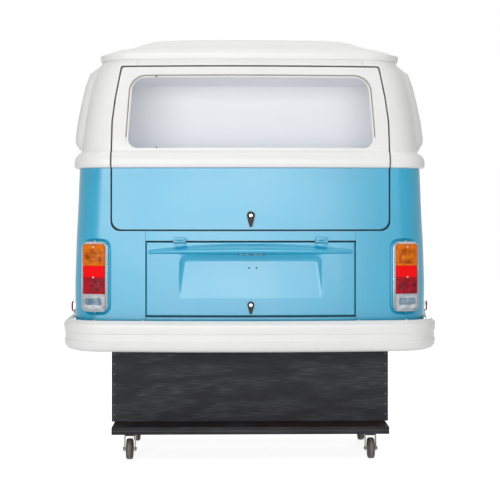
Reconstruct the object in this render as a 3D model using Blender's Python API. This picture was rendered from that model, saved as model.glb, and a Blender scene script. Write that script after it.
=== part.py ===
"""Mobile bar made from the rounded tail end of a classic minibus.

The white and blue shell stands on a black plywood box, which rolls on four swivel castors.
Metres, +Z up. The tail, with its hatch and its lower lid, faces -Y. X = 0 is the middle plane.
"""

import math

import bmesh
import bpy
from mathutils import Matrix, Vector

# Heights of what stands one over another, from the floor up
CASTOR_HEIGHT = 0.128
BOARD_THICK = 0.036
BOX_HEIGHT = 0.491
SKIRT_DROP = 0.030
APRON_HEIGHT = 0.077
LID_HEIGHT = 0.360
SILL_HEIGHT = 0.054
HATCH_BLUE_HEIGHT = 0.299
BELT_HEIGHT = 0.085
HATCH_WHITE_HEIGHT = 0.416
HEADER_HEIGHT = 0.034
LIP_HEIGHT = 0.032
CROWN_HEIGHT = 0.089

# The levels above the floor where they meet
BOX_TOP_Z = CASTOR_HEIGHT + BOARD_THICK + BOX_HEIGHT
SKIRT_Z = BOX_TOP_Z - SKIRT_DROP
LID_LOW_Z = SKIRT_Z + APRON_HEIGHT
LID_TOP_Z = LID_LOW_Z + LID_HEIGHT
HATCH_LOW_Z = LID_TOP_Z + SILL_HEIGHT
BELT_LOW_Z = HATCH_LOW_Z + HATCH_BLUE_HEIGHT
BELT_TOP_Z = BELT_LOW_Z + BELT_HEIGHT
HATCH_TOP_Z = BELT_TOP_Z + HATCH_WHITE_HEIGHT
HEADER_TOP_Z = HATCH_TOP_Z + HEADER_HEIGHT
LIP_TOP_Z = HEADER_TOP_Z + LIP_HEIGHT
ROOF_TOP_Z = LIP_TOP_Z + CROWN_HEIGHT

# Depths, measured forwards from the plane of the tail
BODY_DEPTH = 0.560
BOARD_START = 0.035
BOARD_OVERHANG = 0.040
BOX_START = 0.170
BOX_SHORTFALL = 0.005
BUMPER_REACH = 0.092
BOARD_END = BODY_DEPTH + BOARD_OVERHANG
BOX_END = BODY_DEPTH - BOX_SHORTFALL

# Half widths. All follow the body's own, each by the width it gives up on that side
BODY_HALF = 0.866
SHOULDER_INSET = 0.0225
NECK_INSET = 0.034
EAVES_INSET = 0.125
BOX_INSET = 0.180
BOARD_INSET = 0.014
SHOULDER_HALF = BODY_HALF - SHOULDER_INSET
NECK_HALF = BODY_HALF - NECK_INSET
EAVES_HALF = BODY_HALF - EAVES_INSET
BOX_HALF = BODY_HALF - BOX_INSET
BOARD_HALF = BOX_HALF - BOARD_INSET

# Shell
WALL = 0.034
TAIL_LEAN = 0.085
BELT_BULGE = 0.028
FACE_TURN = math.radians(5.5)
LOWER_RADIUS = 0.150
UPPER_RADIUS = 0.165
SEAM = 0.0003
OVERRUN = 0.05
PANEL_GAP = 0.008
LINE_GAP = 0.0012
WELD = 0.00005
SHARP_ANGLE = math.radians(32)

# Smoothness of the round forms
CORNER_STEPS = 9
FACE_STEPS = 5
ARC_STEPS = 6
ROUND_SIDES = 28
PIN_SIDES = 16
PIN_SIZED = 0.008

# World Y of the tail plane, which centres the whole part on the origin
TAIL_Y = (BUMPER_REACH - BOARD_END) / 2


def depth(forward):
    """World Y of a place this far forwards of the tail plane."""
    return TAIL_Y + forward


for old in list(bpy.data.objects):
    bpy.data.objects.remove(old, do_unlink=True)

parts = bpy.data.collections.new("mobile_bar_van")
cutters = bpy.data.collections.new("cutters")
bpy.context.scene.collection.children.link(parts)
bpy.context.scene.collection.children.link(cutters)


def finish(name, colour, roughness, metallic=0.0):
    material = bpy.data.materials.new(name)
    material.use_nodes = True
    shader = material.node_tree.nodes["Principled BSDF"]
    shader.inputs["Base Color"].default_value = (*colour, 1.0)
    shader.inputs["Roughness"].default_value = roughness
    shader.inputs["Metallic"].default_value = metallic
    return material


WHITE_PAINT = finish("white_paint", (0.83, 0.82, 0.80), 0.25)
BLUE_PAINT = finish("blue_paint", (0.25, 0.58, 0.80), 0.22)
WHITE_LINING = finish("white_lining", (0.80, 0.80, 0.81), 0.60)
BLACK_STAIN = finish("black_stained_ply", (0.03, 0.03, 0.033), 0.70)
ZINC = finish("zinc_plate", (0.62, 0.63, 0.65), 0.38, 1.0)
CHROME = finish("chrome", (0.85, 0.85, 0.86), 0.12, 1.0)
RUBBER = finish("castor_rubber", (0.10, 0.10, 0.11), 0.75)
BLACK_METAL = finish("black_metal", (0.02, 0.02, 0.02), 0.35)
AMBER_LENS = finish("amber_lens", (0.90, 0.35, 0.03), 0.12)
RED_LENS = finish("red_lens", (0.65, 0.02, 0.02), 0.12)
CLEAR_LENS = finish("clear_lens", (0.86, 0.84, 0.84), 0.10)


def keep(name, shape, paint, group=parts):
    """Turns a bmesh into an object of the part, its faces pointing out."""
    bmesh.ops.recalc_face_normals(shape, faces=shape.faces)
    mesh = bpy.data.meshes.new(name)
    shape.to_mesh(mesh)
    shape.free()
    mesh.shade_smooth()
    mesh.set_sharp_from_angle(angle=SHARP_ANGLE)
    obj = bpy.data.objects.new(name, mesh)
    group.objects.link(obj)
    if paint is not None:
        mesh.materials.append(paint)
    return obj


def as_cutter(obj):
    obj.hide_render = True
    obj.display_type = "WIRE"
    return obj


def boolean(obj, other, operation="DIFFERENCE"):
    step = obj.modifiers.new(f"{operation.lower()}_{other.name}", "BOOLEAN")
    step.operation = operation
    step.object = other
    step.solver = "EXACT"
    return obj


def joined(obj, other):
    """Joins a helper shape to a part. The helper stays in the file as a cutter does."""
    return boolean(obj, other, "UNION")


def pivot(name, place):
    """An empty on a joint's axis, from which the pieces that it moves hang."""
    empty = bpy.data.objects.new(name, None)
    empty.location = place
    parts.objects.link(empty)
    return empty


def hang(obj, empty):
    """Parents a piece, or a further pivot, to a pivot and leaves it where it stands."""
    obj.parent = empty
    obj.matrix_parent_inverse = Matrix.Translation(empty.location).inverted()


def block(name, low, high, paint=None, group=parts):
    """A box between two corners."""
    low, high = Vector(low), Vector(high)
    shape = bmesh.new()
    place = Matrix.Translation((low + high) / 2) @ Matrix.Diagonal((*(high - low), 1))
    bmesh.ops.create_cube(shape, size=1, matrix=place)
    return keep(name, shape, paint, group)


def block_cutter(name, low, high):
    return as_cutter(block(name, low, high, group=cutters))


def rod(name, start, end, radius, paint=None, group=parts):
    """A round bar between two points, with fewer sides where it is no thicker than a pin."""
    start, end = Vector(start), Vector(end)
    sides = PIN_SIDES if radius < PIN_SIZED else ROUND_SIDES
    turn = (end - start).to_track_quat("Z", "Y").to_matrix().to_4x4()
    shape = bmesh.new()
    bmesh.ops.create_cone(
        shape,
        cap_ends=True,
        segments=sides,
        radius1=radius,
        radius2=radius,
        depth=(end - start).length,
        matrix=Matrix.Translation((start + end) / 2) @ turn,
    )
    return keep(name, shape, paint, group)


def rod_cutter(name, start, end, radius):
    return as_cutter(rod(name, start, end, radius, group=cutters))


def rounded(corners, steps=ARC_STEPS):
    """The outline through these (across, up, radius) corners, each rounded to its radius."""
    outline = []
    count = len(corners)
    for index, (across, up, radius) in enumerate(corners):
        here = Vector((across, up))
        if not radius:
            outline.append(here)
            continue
        before = (Vector(corners[index - 1][:2]) - here).normalized()
        after = (Vector(corners[(index + 1) % count][:2]) - here).normalized()
        half_angle = before.angle(after) / 2
        centre = here + (before + after).normalized() * radius / math.sin(half_angle)
        first = here + before * radius / math.tan(half_angle) - centre
        last = here + after * radius / math.tan(half_angle) - centre
        sweep = first.angle_signed(last)
        for step in range(steps + 1):
            turned = first.copy()
            turned.rotate(Matrix.Rotation(-sweep * step / steps, 2))
            outline.append(centre + turned)
    return outline


def both_sides(right):
    """A closed outline from its right half, given from the bottom to the top."""
    return right + [(-across, up, radius) for across, up, radius in reversed(right)]


def prism(name, outline, near, far, paint=None, group=parts, place=None):
    """A flat outline across X and Z, made solid along Y from near to far."""
    shape = bmesh.new()
    corners = [shape.verts.new((across, near, up)) for across, up in outline]
    face = shape.faces.new(corners)
    grown = bmesh.ops.extrude_face_region(shape, geom=[face])
    moved = [item for item in grown["geom"] if isinstance(item, bmesh.types.BMVert)]
    bmesh.ops.translate(shape, verts=moved, vec=(0, far - near, 0))
    if place is not None:
        bmesh.ops.transform(shape, matrix=place, verts=shape.verts)
    return keep(name, shape, paint, group)


def prism_cutter(name, outline, near, far, place=None):
    return as_cutter(prism(name, outline, near, far, group=cutters, place=place))


def loft(name, rings, paint=None, group=parts):
    """A solid through closed rings of points, each ring with as many points as the next."""
    shape = bmesh.new()
    levels = [[shape.verts.new(point) for point in ring] for ring in rings]
    for ring, following in zip(levels, levels[1:]):
        for index in range(len(ring)):
            after = (index + 1) % len(ring)
            shape.faces.new((ring[index], ring[after], following[after], following[index]))
    shape.faces.new(levels[0])
    shape.faces.new(levels[-1])
    return keep(name, shape, paint, group)


def plan(half, back, radius, front):
    """One level of the shell seen from above: up one side, round the tail and down the other.

    The tail is a shallow bow whose ends run smoothly into the corner arcs.
    """
    reach = half - radius * (1 - math.sin(FACE_TURN))
    crown = reach * math.tan(FACE_TURN) / 2
    centre = back + crown + radius * math.cos(FACE_TURN)
    side = [(half, front)]
    for step in range(CORNER_STEPS + 1):
        angle = (math.pi / 2 - FACE_TURN) * step / CORNER_STEPS
        side.append((half - radius + radius * math.cos(angle), centre - radius * math.sin(angle)))
    for step in range(1, FACE_STEPS):
        across = reach * (1 - step / FACE_STEPS)
        side.append((across, back + crown * (across / reach) ** 2))
    return side + [(0, back)] + [(-across, forward) for across, forward in reversed(side)]


def wall(name, rows, front, paint=None, group=parts):
    """A wall that wraps the tail: a closed loop of (half, back, radius, up) rows, lofted and capped."""
    shape = bmesh.new()
    rings = []
    for half, back, radius, up in rows:
        rings.append([shape.verts.new((x, depth(y), up)) for x, y in plan(half, back, radius, front)])
    for ring, following in zip(rings, rings[1:] + rings[:1]):
        for index in range(len(ring) - 1):
            shape.faces.new((ring[index], ring[index + 1], following[index + 1], following[index]))
    shape.faces.new([ring[0] for ring in rings])
    shape.faces.new([ring[-1] for ring in reversed(rings)])
    return keep(name, shape, paint, group)


def slab(name, half, back, radius, front, low, high, paint):
    """A flat board that fills one level of the shell."""
    shape = bmesh.new()
    face = shape.faces.new([shape.verts.new((x, depth(y), low)) for x, y in plan(half, back, radius, front)])
    grown = bmesh.ops.extrude_face_region(shape, geom=[face])
    moved = [item for item in grown["geom"] if isinstance(item, bmesh.types.BMVert)]
    bmesh.ops.translate(shape, verts=moved, vec=(0, 0, high - low))
    return keep(name, shape, paint)


# The shell's outer levels. Each row holds shares, chosen by eye, of the named sizes of its zone:
# the lower zone's height and half width, the belt's height and bulge, and the upper zone's height,
# half width and lean.
LOWER_LEVEL_SHARES = ((0.0, 0.93), (0.12, 0.985), (0.30, 1.0), (0.55, 0.72), (0.80, 0.28), (1.0, 0.0))
BELT_LEVEL_SHARES = (
    (0.0, 0.50), (0.06, 0.80), (0.20, 0.97), (0.42, 1.0), (0.60, 0.94), (0.76, 0.76), (0.90, 0.46), (1.0, 0.0))
UPPER_LEVEL_SHARES = (
    (0.10, 0.97, 0.03), (0.34, 0.84, 0.22), (0.56, 0.68, 0.47), (0.75, 0.49, 0.70), (0.90, 0.25, 0.89))


def lower_outer():
    rows = []
    for up_share, half_share in LOWER_LEVEL_SHARES:
        up = SKIRT_Z + (BELT_LOW_Z - SKIRT_Z) * up_share
        half = SHOULDER_HALF + (BODY_HALF - SHOULDER_HALF) * half_share
        rows.append((half, 0, LOWER_RADIUS, up))
    return rows


def upper_outer():
    rows = []
    for up_share, bulge_share in BELT_LEVEL_SHARES:
        up = BELT_LOW_Z + (BELT_TOP_Z - BELT_LOW_Z) * up_share
        half = NECK_HALF + (SHOULDER_HALF - NECK_HALF) * (1 - up_share) + BELT_BULGE * bulge_share
        rows.append((half, -BELT_BULGE * bulge_share, UPPER_RADIUS, up))
    for up_share, half_share, lean_share in UPPER_LEVEL_SHARES:
        up = BELT_TOP_Z + (HEADER_TOP_Z - BELT_TOP_Z) * up_share
        half = EAVES_HALF + (NECK_HALF - EAVES_HALF) * half_share
        rows.append((half, TAIL_LEAN * lean_share, UPPER_RADIUS, up))
    rows.append((EAVES_HALF, TAIL_LEAN, UPPER_RADIUS, HEADER_TOP_Z))
    return rows


def inner(row):
    half, back, radius, up = row
    return (half - WALL, back + WALL, radius - WALL, up)


BELT_ROWS = len(BELT_LEVEL_SHARES) - 1
LINING_HALF = SHOULDER_HALF - WALL
LINING_RADIUS = LOWER_RADIUS - WALL
lower_rows = lower_outer()
upper_rows = upper_outer()
lower_lining = [(LINING_HALF, WALL, LINING_RADIUS, row[3]) for row in (lower_rows[-1], lower_rows[0])]
upper_lining = [inner(upper_rows[-1]), inner(upper_rows[-3]), inner(upper_rows[-5])]
upper_lining += [inner(upper_rows[BELT_ROWS]), (LINING_HALF, WALL, UPPER_RADIUS - WALL, upper_rows[0][3])]


def lower_wall(name, paint):
    """The blue zone's wall, whose top stops a seam short of the belt."""
    rows = []
    for half, back, radius, up in lower_rows + lower_lining:
        rows.append((half, back, radius, up - SEAM if up == BELT_LOW_Z else up))
    return wall(name, rows, BODY_DEPTH, paint)


def upper_wall(name, paint):
    return wall(name, upper_rows + upper_lining, BODY_DEPTH, paint)


def level_in(rows, up):
    """Half width, setback and radius at a height between these rows, given from the bottom up."""
    for below, above in zip(rows, rows[1:]):
        if up <= above[3]:
            share = (up - below[3]) / (above[3] - below[3])
            return [low + (high - low) * share for low, high in zip(below[:3], above[:3])]
    return list(rows[-1][:3])


def skin_level(up):
    """The shell's outer skin at any height."""
    return level_in(lower_rows if up < BELT_LOW_Z else upper_rows, up)


def lining_level(up):
    """The shell's inner face at any height."""
    return level_in(lower_lining[::-1] if up < BELT_LOW_Z else upper_lining[::-1], up)


def bow(level, across):
    """Forward place of a level's tail face at a width."""
    half, back, radius = level
    reach = half - radius * (1 - math.sin(FACE_TURN))
    return back + reach * math.tan(FACE_TURN) / 2 * (across / reach) ** 2


def corner_centre(level):
    """Half width and forward place of the middle of a level's corner arc."""
    half, back, radius = level
    reach = half - radius * (1 - math.sin(FACE_TURN))
    return half - radius, bow(level, reach) + radius * math.cos(FACE_TURN)


# The hatch's outline: half widths of the gap's middle line, from the sill up to the header
HATCH_FOOT_RADIUS = 0.045
HATCH_HEAD_RADIUS = 0.012
HATCH_INSET = 0.194
HATCH_TAPER = 0.042
HATCH_HALF = BODY_HALF - HATCH_INSET
HATCH_TOP_HALF = HATCH_HALF - HATCH_TAPER
HATCH_SIDE_SHARES = ((0.50, 1.0), (0.66, 0.955), (0.81, 0.63), (0.94, 0.21))


def hatch_outline(grow):
    rise = HATCH_TOP_Z - HATCH_LOW_Z
    right = [(HATCH_HALF + grow, HATCH_LOW_Z - grow, HATCH_FOOT_RADIUS)]
    for up_share, half_share in HATCH_SIDE_SHARES:
        half = HATCH_TOP_HALF + (HATCH_HALF - HATCH_TOP_HALF) * half_share
        right.append((half + grow, HATCH_LOW_Z + rise * up_share, 0))
    right.append((HATCH_TOP_HALF + grow, HATCH_TOP_Z + grow, HATCH_HEAD_RADIUS))
    return rounded(both_sides(right))


def band(name, left, right, low, high):
    """A cutter right through the tail between two widths and two heights."""
    return block_cutter(name, (left, depth(-OVERRUN), low), (right, depth(BODY_DEPTH + OVERRUN), high))


half_gap = PANEL_GAP / 2
near, far = depth(-OVERRUN * 2), depth(BODY_DEPTH / 2)
hatch_hole = prism_cutter("hatch_hole", hatch_outline(half_gap), near, far)
hatch_form = prism_cutter("hatch_form", hatch_outline(-half_gap), near, far)

# The lid and the two strips above and below it share the same side lines
LID_INSET = 0.359
LID_HALF = BODY_HALF - LID_INSET
SILL_TOP_Z = HATCH_LOW_Z - PANEL_GAP / 2

# Upper quarters and header: white
HEADER_SEAM_INSET = 0.189
HEADER_SEAM_HALF = EAVES_HALF - HEADER_SEAM_INSET
for side_name, side in (("left", -1), ("right", 1)):
    quarter = upper_wall(f"quarter_upper_{side_name}", WHITE_PAINT)
    boolean(quarter, hatch_hole)
    left, right = sorted((side * (HEADER_SEAM_HALF + LINE_GAP / 2), -side * (BODY_HALF + OVERRUN)))
    beyond = band(f"beyond_header_{side_name}", left, right, BELT_LOW_Z - OVERRUN, HEADER_TOP_Z + OVERRUN)
    boolean(quarter, beyond)

header = upper_wall("rear_header", WHITE_PAINT)
header_half = HEADER_SEAM_HALF - LINE_GAP / 2
header_low = HATCH_TOP_Z + half_gap
boolean(header, band("header_keep", -header_half, header_half, header_low, HEADER_TOP_Z + OVERRUN), "INTERSECT")

# Lower quarters and strips: blue
for side_name, side in (("left", -1), ("right", 1)):
    quarter = lower_wall(f"quarter_lower_{side_name}", BLUE_PAINT)
    boolean(quarter, hatch_hole)
    left, right = sorted((side * LID_HALF, -side * (BODY_HALF + OVERRUN)))
    boolean(quarter, band(f"beyond_lid_{side_name}", left, right, SKIRT_Z - OVERRUN, BELT_LOW_Z + OVERRUN))

strip_half = LID_HALF - LINE_GAP
sill = lower_wall("sill_strip", BLUE_PAINT)
boolean(sill, band("sill_keep", -strip_half, strip_half, LID_TOP_Z + half_gap, SILL_TOP_Z), "INTERSECT")
apron = lower_wall("apron_strip", BLUE_PAINT)
apron_top = LID_LOW_Z - half_gap
boolean(apron, band("apron_keep", -strip_half, strip_half, SKIRT_Z - OVERRUN, apron_top), "INTERSECT")

# Roof: a low pillow over a rolled drip lip, with a flange that sits on the shell's top edge
ROOF_WALL = 0.022
LIP_OVERHANG = 0.013
LIP_TURN = 0.009
LIP_LEVEL_SHARES = ((0.0, 1.0), (0.35, 0.35), (0.92, 0.0))
ROOF_LEVEL_SHARES = (
    (0.0, 0.0), (0.16, 0.035), (0.27, 0.070), (0.40, 0.130), (0.56, 0.190), (0.72, 0.232), (0.86, 0.275),
    (0.95, 0.35), (1.0, 0.53))
ROOF_INSIDE_LEVELS = 6
ROOF_SETBACK_SHARE = 0.82
ROOF_CORNER_SHARE = 0.60
lip_half = EAVES_HALF + LIP_OVERHANG
lip_low = HEADER_TOP_Z + SEAM


def roof_row(up, inward):
    """A level of the roof, drawn in from the lip by this much at the sides and by its share at the tail."""
    half = lip_half - inward
    back = TAIL_LEAN - LIP_OVERHANG + inward * ROOF_SETBACK_SHARE * BODY_DEPTH / lip_half
    widest = min(half, BODY_DEPTH - back) * ROOF_CORNER_SHARE
    return (half, back, min(UPPER_RADIUS + LIP_OVERHANG, widest), up)


def roof_outside():
    rows = []
    for up_share, turn_share in LIP_LEVEL_SHARES:
        rows.append(roof_row(lip_low + (LIP_TOP_Z - lip_low) * up_share, LIP_TURN * turn_share))
    for up_share, in_share in ROOF_LEVEL_SHARES:
        up = LIP_TOP_Z + (ROOF_TOP_Z - LIP_TOP_Z) * up_share
        rows.append(roof_row(up, LIP_TURN + (lip_half - LIP_TURN) * in_share))
    return rows


def roof_inside():
    """The underside, from the flange's inner edge up to the ceiling of the pillow."""
    rows = [(EAVES_HALF - WALL, TAIL_LEAN + WALL, UPPER_RADIUS - WALL, lip_low)]
    for half, back, radius, up in roof_outside()[-ROOF_INSIDE_LEVELS:]:
        rows.append((half, back, radius, up - ROOF_WALL))
    return rows


def roof():
    """Rings from the lip to the top, and back down inside, closed by two caps and by the cut front edge."""
    shape = bmesh.new()
    rings = []
    outside = roof_outside()
    for half, back, radius, up in outside + roof_inside()[::-1]:
        rings.append([shape.verts.new((x, depth(y), up)) for x, y in plan(half, back, radius, BODY_DEPTH)])
    top = len(outside)
    for level, (ring, following) in enumerate(zip(rings, rings[1:] + rings[:1])):
        if level != top - 1:
            for index in range(len(ring) - 1):
                shape.faces.new((ring[index], ring[index + 1], following[index + 1], following[index]))
    shape.faces.new(rings[top - 1])
    shape.faces.new(rings[top])
    arch = [ring[0] for ring in rings[:top]] + [ring[-1] for ring in rings[:top][::-1]]
    arch += [ring[-1] for ring in rings[top:][::-1]] + [ring[0] for ring in rings[top:]]
    shape.faces.new(arch)
    return keep("roof", shape, WHITE_PAINT)


roof()

# Hatch: a whole door as thick as the shell, white above its belt and blue below
WINDOW_SILL = 0.006
WINDOW_HEAD = 0.042
WINDOW_LOW_Z = BELT_TOP_Z + WINDOW_SILL
WINDOW_TOP_Z = HATCH_TOP_Z - WINDOW_HEAD
WINDOW_FOOT_INSET = 0.063
WINDOW_HEAD_INSET = 0.042
WINDOW_FOOT_HALF = HATCH_HALF - WINDOW_FOOT_INSET
WINDOW_HEAD_HALF = HATCH_TOP_HALF - WINDOW_HEAD_INSET
WINDOW_FOOT_RADIUS = 0.058
WINDOW_HEAD_RADIUS = 0.078
REBATE = 0.013
REBATE_DEPTH = 0.008


def window_outline(grow):
    right = [(WINDOW_FOOT_HALF + grow, WINDOW_LOW_Z - grow / 2, WINDOW_FOOT_RADIUS + grow),
             (WINDOW_HEAD_HALF + grow, WINDOW_TOP_Z + grow, WINDOW_HEAD_RADIUS + grow)]
    return rounded(both_sides(right))


def skin(name, rows, sink):
    """A cutter that takes away what lies outside the shell's skin, down to this depth."""
    outside = [(half + OVERRUN, back - OVERRUN, radius + OVERRUN, up) for half, back, radius, up in rows]
    inside = [(half - sink, back + sink, radius - sink, up) for half, back, radius, up in reversed(rows)]
    return as_cutter(wall(name, outside + inside, BODY_DEPTH, group=cutters))


hatch_upper = upper_wall("hatch_upper", WHITE_PAINT)
boolean(hatch_upper, hatch_form, "INTERSECT")
boolean(hatch_upper, prism_cutter("window_hole", window_outline(-REBATE), near, far))
rebate = skin("window_rebate", upper_rows[BELT_ROWS:], REBATE_DEPTH)
boolean(rebate, prism_cutter("window_rebate_form", window_outline(0), near, far), "INTERSECT")
boolean(hatch_upper, rebate)
hatch_lower = lower_wall("hatch_lower", BLUE_PAINT)
boolean(hatch_lower, hatch_form, "INTERSECT")

# Hatch hinges: an arm from the header to a pin that crosses a pocket in the hatch's top edge
HINGE_INSET = 0.381
HINGE_HALF = HATCH_TOP_HALF - HINGE_INSET
AXIS_BEHIND = 0.014
AXIS_BELOW = 0.010
ARM_WIDTH = 0.012
ARM_THICK = 0.008
EYE_RADIUS = 0.0055
PIN_RADIUS = 0.0025
PIN_BITE = 0.010
PIN_CLEARANCE = 0.0003
SWING_CLEARANCE = 0.005
EYE_CLEARANCE = 0.001
ARM_POST_RISE = 0.026
ARM_POST_THICK = 0.010
hatch_axis_up = HATCH_TOP_Z - half_gap - AXIS_BELOW
hatch_axis_y = depth(skin_level(hatch_axis_up)[1] + AXIS_BEHIND)
for side_name, side in (("left", -1), ("right", 1)):
    left, right = side * HINGE_HALF - ARM_WIDTH / 2, side * HINGE_HALF + ARM_WIDTH / 2
    pocket_near = hatch_axis_y - EYE_RADIUS - EYE_CLEARANCE
    pocket_low = hatch_axis_up - EYE_RADIUS - SWING_CLEARANCE
    pocket = block_cutter(f"hinge_pocket_{side_name}", (left - SWING_CLEARANCE, pocket_near, pocket_low),
                          (right + SWING_CLEARANCE, far, HEADER_TOP_Z))
    boolean(hatch_upper, pocket)
    pin_reach = SWING_CLEARANCE + PIN_BITE
    pin = rod_cutter(f"hinge_pin_{side_name}", (left - pin_reach, hatch_axis_y, hatch_axis_up),
                     (right + pin_reach, hatch_axis_y, hatch_axis_up), PIN_RADIUS)
    joined(hatch_upper, pin)
    post_top = header_low + ARM_POST_RISE
    post_near = depth(bow(lining_level(post_top), HINGE_HALF + ARM_WIDTH / 2)) + SEAM
    post_far = post_near + ARM_POST_THICK
    arm_low, arm_high = hatch_axis_up - ARM_THICK / 2, hatch_axis_up + ARM_THICK / 2
    profile = [(post_near, arm_high), (post_near, post_top), (post_far, post_top), (post_far, arm_low)]
    first = -math.asin(ARM_THICK / 2 / EYE_RADIUS)
    for step in range(PIN_SIDES + 1):
        angle = first - (math.tau + 2 * first) * step / PIN_SIDES
        along, up = EYE_RADIUS * math.cos(angle), EYE_RADIUS * math.sin(angle)
        profile.append((hatch_axis_y + along, hatch_axis_up + up))
    sides = [[(across, *point) for point in profile] for across in (left, right)]
    arm = loft(f"hatch_hinge_arm_{side_name}", sides, ZINC)
    boolean(arm, rod_cutter(f"hinge_bore_{side_name}", (left - OVERRUN, hatch_axis_y, hatch_axis_up),
                            (right + OVERRUN, hatch_axis_y, hatch_axis_up), PIN_RADIUS + PIN_CLEARANCE))

# Lid: hinged along its top edge, with a pressed plate recess under a long raised hood
LID_SIDE_GAP = 0.0055
LID_AXIS_FORE = 0.006
PLATE_INSET = 0.1625
PLATE_HALF = LID_HALF - PLATE_INSET
PLATE_RISE = 0.089
PLATE_HEIGHT = 0.207
PLATE_LOW_Z = LID_LOW_Z + PLATE_RISE
PLATE_TOP_Z = PLATE_LOW_Z + PLATE_HEIGHT
PLATE_RADIUS = 0.038
PLATE_DEPTH = 0.021
PLATE_LIP = 0.0015
PLATE_SLOPE = 0.032
PLATE_COLUMNS = 5
HOOD_INSET = 0.017
HOOD_HALF = LID_HALF - HOOD_INSET
HOOD_RISE = 0.030
HOOD_REACH = 0.026
HOOD_SINK = 0.006
HOOD_ABOVE_PLATE = 0.024
HOOD_Z = PLATE_TOP_Z + HOOD_ABOVE_PLATE
KNUCKLE_RADIUS = 0.006
KNUCKLE_LENGTH = 0.018
KNUCKLES = 3
KNUCKLE_PIN_RADIUS = 0.003
LID_HINGE_INSET = 0.1665
LID_HINGE_HALF = LID_HALF - LID_HINGE_INSET
LEAF_DROP = 0.018
lid_axis_y = depth(-LID_AXIS_FORE)
lid = lower_wall("lid", BLUE_PAINT)
lid_half = LID_HALF - LID_SIDE_GAP
boolean(lid, band("lid_keep", -lid_half, lid_half, LID_LOW_Z + half_gap, LID_TOP_Z - half_gap), "INTERSECT")

# The hood is a flattened ball. Its odd number of rings keeps their edges off the lid's middle line.
hood_shape = bmesh.new()
bmesh.ops.create_uvsphere(hood_shape, u_segments=ROUND_SIDES, v_segments=ROUND_SIDES // 2 + 1, radius=1)
bmesh.ops.rotate(hood_shape, verts=hood_shape.verts, matrix=Matrix.Rotation(math.pi / 2, 3, "Y"))
bmesh.ops.scale(hood_shape, verts=hood_shape.verts, vec=(HOOD_HALF, HOOD_REACH + HOOD_SINK, HOOD_RISE))
bmesh.ops.translate(hood_shape, verts=hood_shape.verts, vec=(0, depth(HOOD_SINK), HOOD_Z))
for vert in hood_shape.verts:
    vert.co.y += bow(skin_level(HOOD_Z), vert.co.x)
joined(lid, as_cutter(keep("plate_hood", hood_shape, None, cutters)))

plate_outline = rounded([(PLATE_HALF, PLATE_LOW_Z, 0), (PLATE_HALF, PLATE_TOP_Z, PLATE_RADIUS),
                         (-PLATE_HALF, PLATE_TOP_Z, PLATE_RADIUS), (-PLATE_HALF, PLATE_LOW_Z, 0)])
plate_floor = []
for across, up in plate_outline:
    rise = (up - PLATE_LOW_Z) / PLATE_HEIGHT
    narrowed = across * (1 - PLATE_SLOPE * rise / PLATE_HALF)
    plate_floor.append((narrowed, depth(PLATE_LIP + PLATE_DEPTH * rise), up - PLATE_SLOPE * rise))
plate_mouths = [[(across, depth(forward), up) for across, up in plate_outline] for forward in (-OVERRUN, 0)]
recess = as_cutter(loft("plate_recess", plate_mouths + [plate_floor], group=cutters))
recess_shape = bmesh.new()
recess_shape.from_mesh(recess.data)
for column in range(1 - PLATE_COLUMNS, PLATE_COLUMNS):
    whole = recess_shape.verts[:] + recess_shape.edges[:] + recess_shape.faces[:]
    line = (PLATE_HALF * column / PLATE_COLUMNS, 0, 0)
    bmesh.ops.bisect_plane(recess_shape, geom=whole, dist=WELD, plane_co=line, plane_no=(1, 0, 0))
for vert in recess_shape.verts:
    vert.co.y += bow(skin_level(HOOD_Z), vert.co.x)
bmesh.ops.triangulate(recess_shape, faces=recess_shape.faces)
recess_shape.to_mesh(recess.data)
recess_shape.free()
boolean(lid, recess)

for side_name, side in (("left", -1), ("right", 1)):
    hinge_start = side * LID_HINGE_HALF - KNUCKLE_LENGTH * KNUCKLES / 2
    skin_y = depth(bow(skin_level(LID_TOP_Z), LID_HINGE_HALF)) + WALL / 3
    for knuckle, (owner, sign) in enumerate(((sill, 1), (lid, -1), (sill, 1))):
        tag = f"{side_name}_{knuckle}"
        start = hinge_start + KNUCKLE_LENGTH * knuckle + LINE_GAP / 2
        stop = start + KNUCKLE_LENGTH - LINE_GAP
        low, high = sorted((LID_TOP_Z + sign * KNUCKLE_RADIUS / 3, LID_TOP_Z + sign * LEAF_DROP))
        knuckle_ends = (start, lid_axis_y, LID_TOP_Z), (stop, lid_axis_y, LID_TOP_Z)
        joined(owner, rod_cutter(f"lid_knuckle_{tag}", *knuckle_ends, KNUCKLE_RADIUS))
        leaf_near = lid_axis_y - KNUCKLE_RADIUS / 2
        joined(owner, block_cutter(f"lid_leaf_{tag}", (start + LINE_GAP / 2, leaf_near, low),
                                   (stop - LINE_GAP / 2, skin_y, high)))
    hinge_stop = hinge_start + KNUCKLE_LENGTH * KNUCKLES
    pin_ends = (hinge_start, lid_axis_y, LID_TOP_Z), (hinge_stop, lid_axis_y, LID_TOP_Z)
    boolean(lid, rod_cutter(f"lid_hinge_bore_{side_name}", *pin_ends, KNUCKLE_PIN_RADIUS + PIN_CLEARANCE))
    joined(sill, rod_cutter(f"lid_hinge_pin_{side_name}", *pin_ends, KNUCKLE_PIN_RADIUS))

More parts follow.
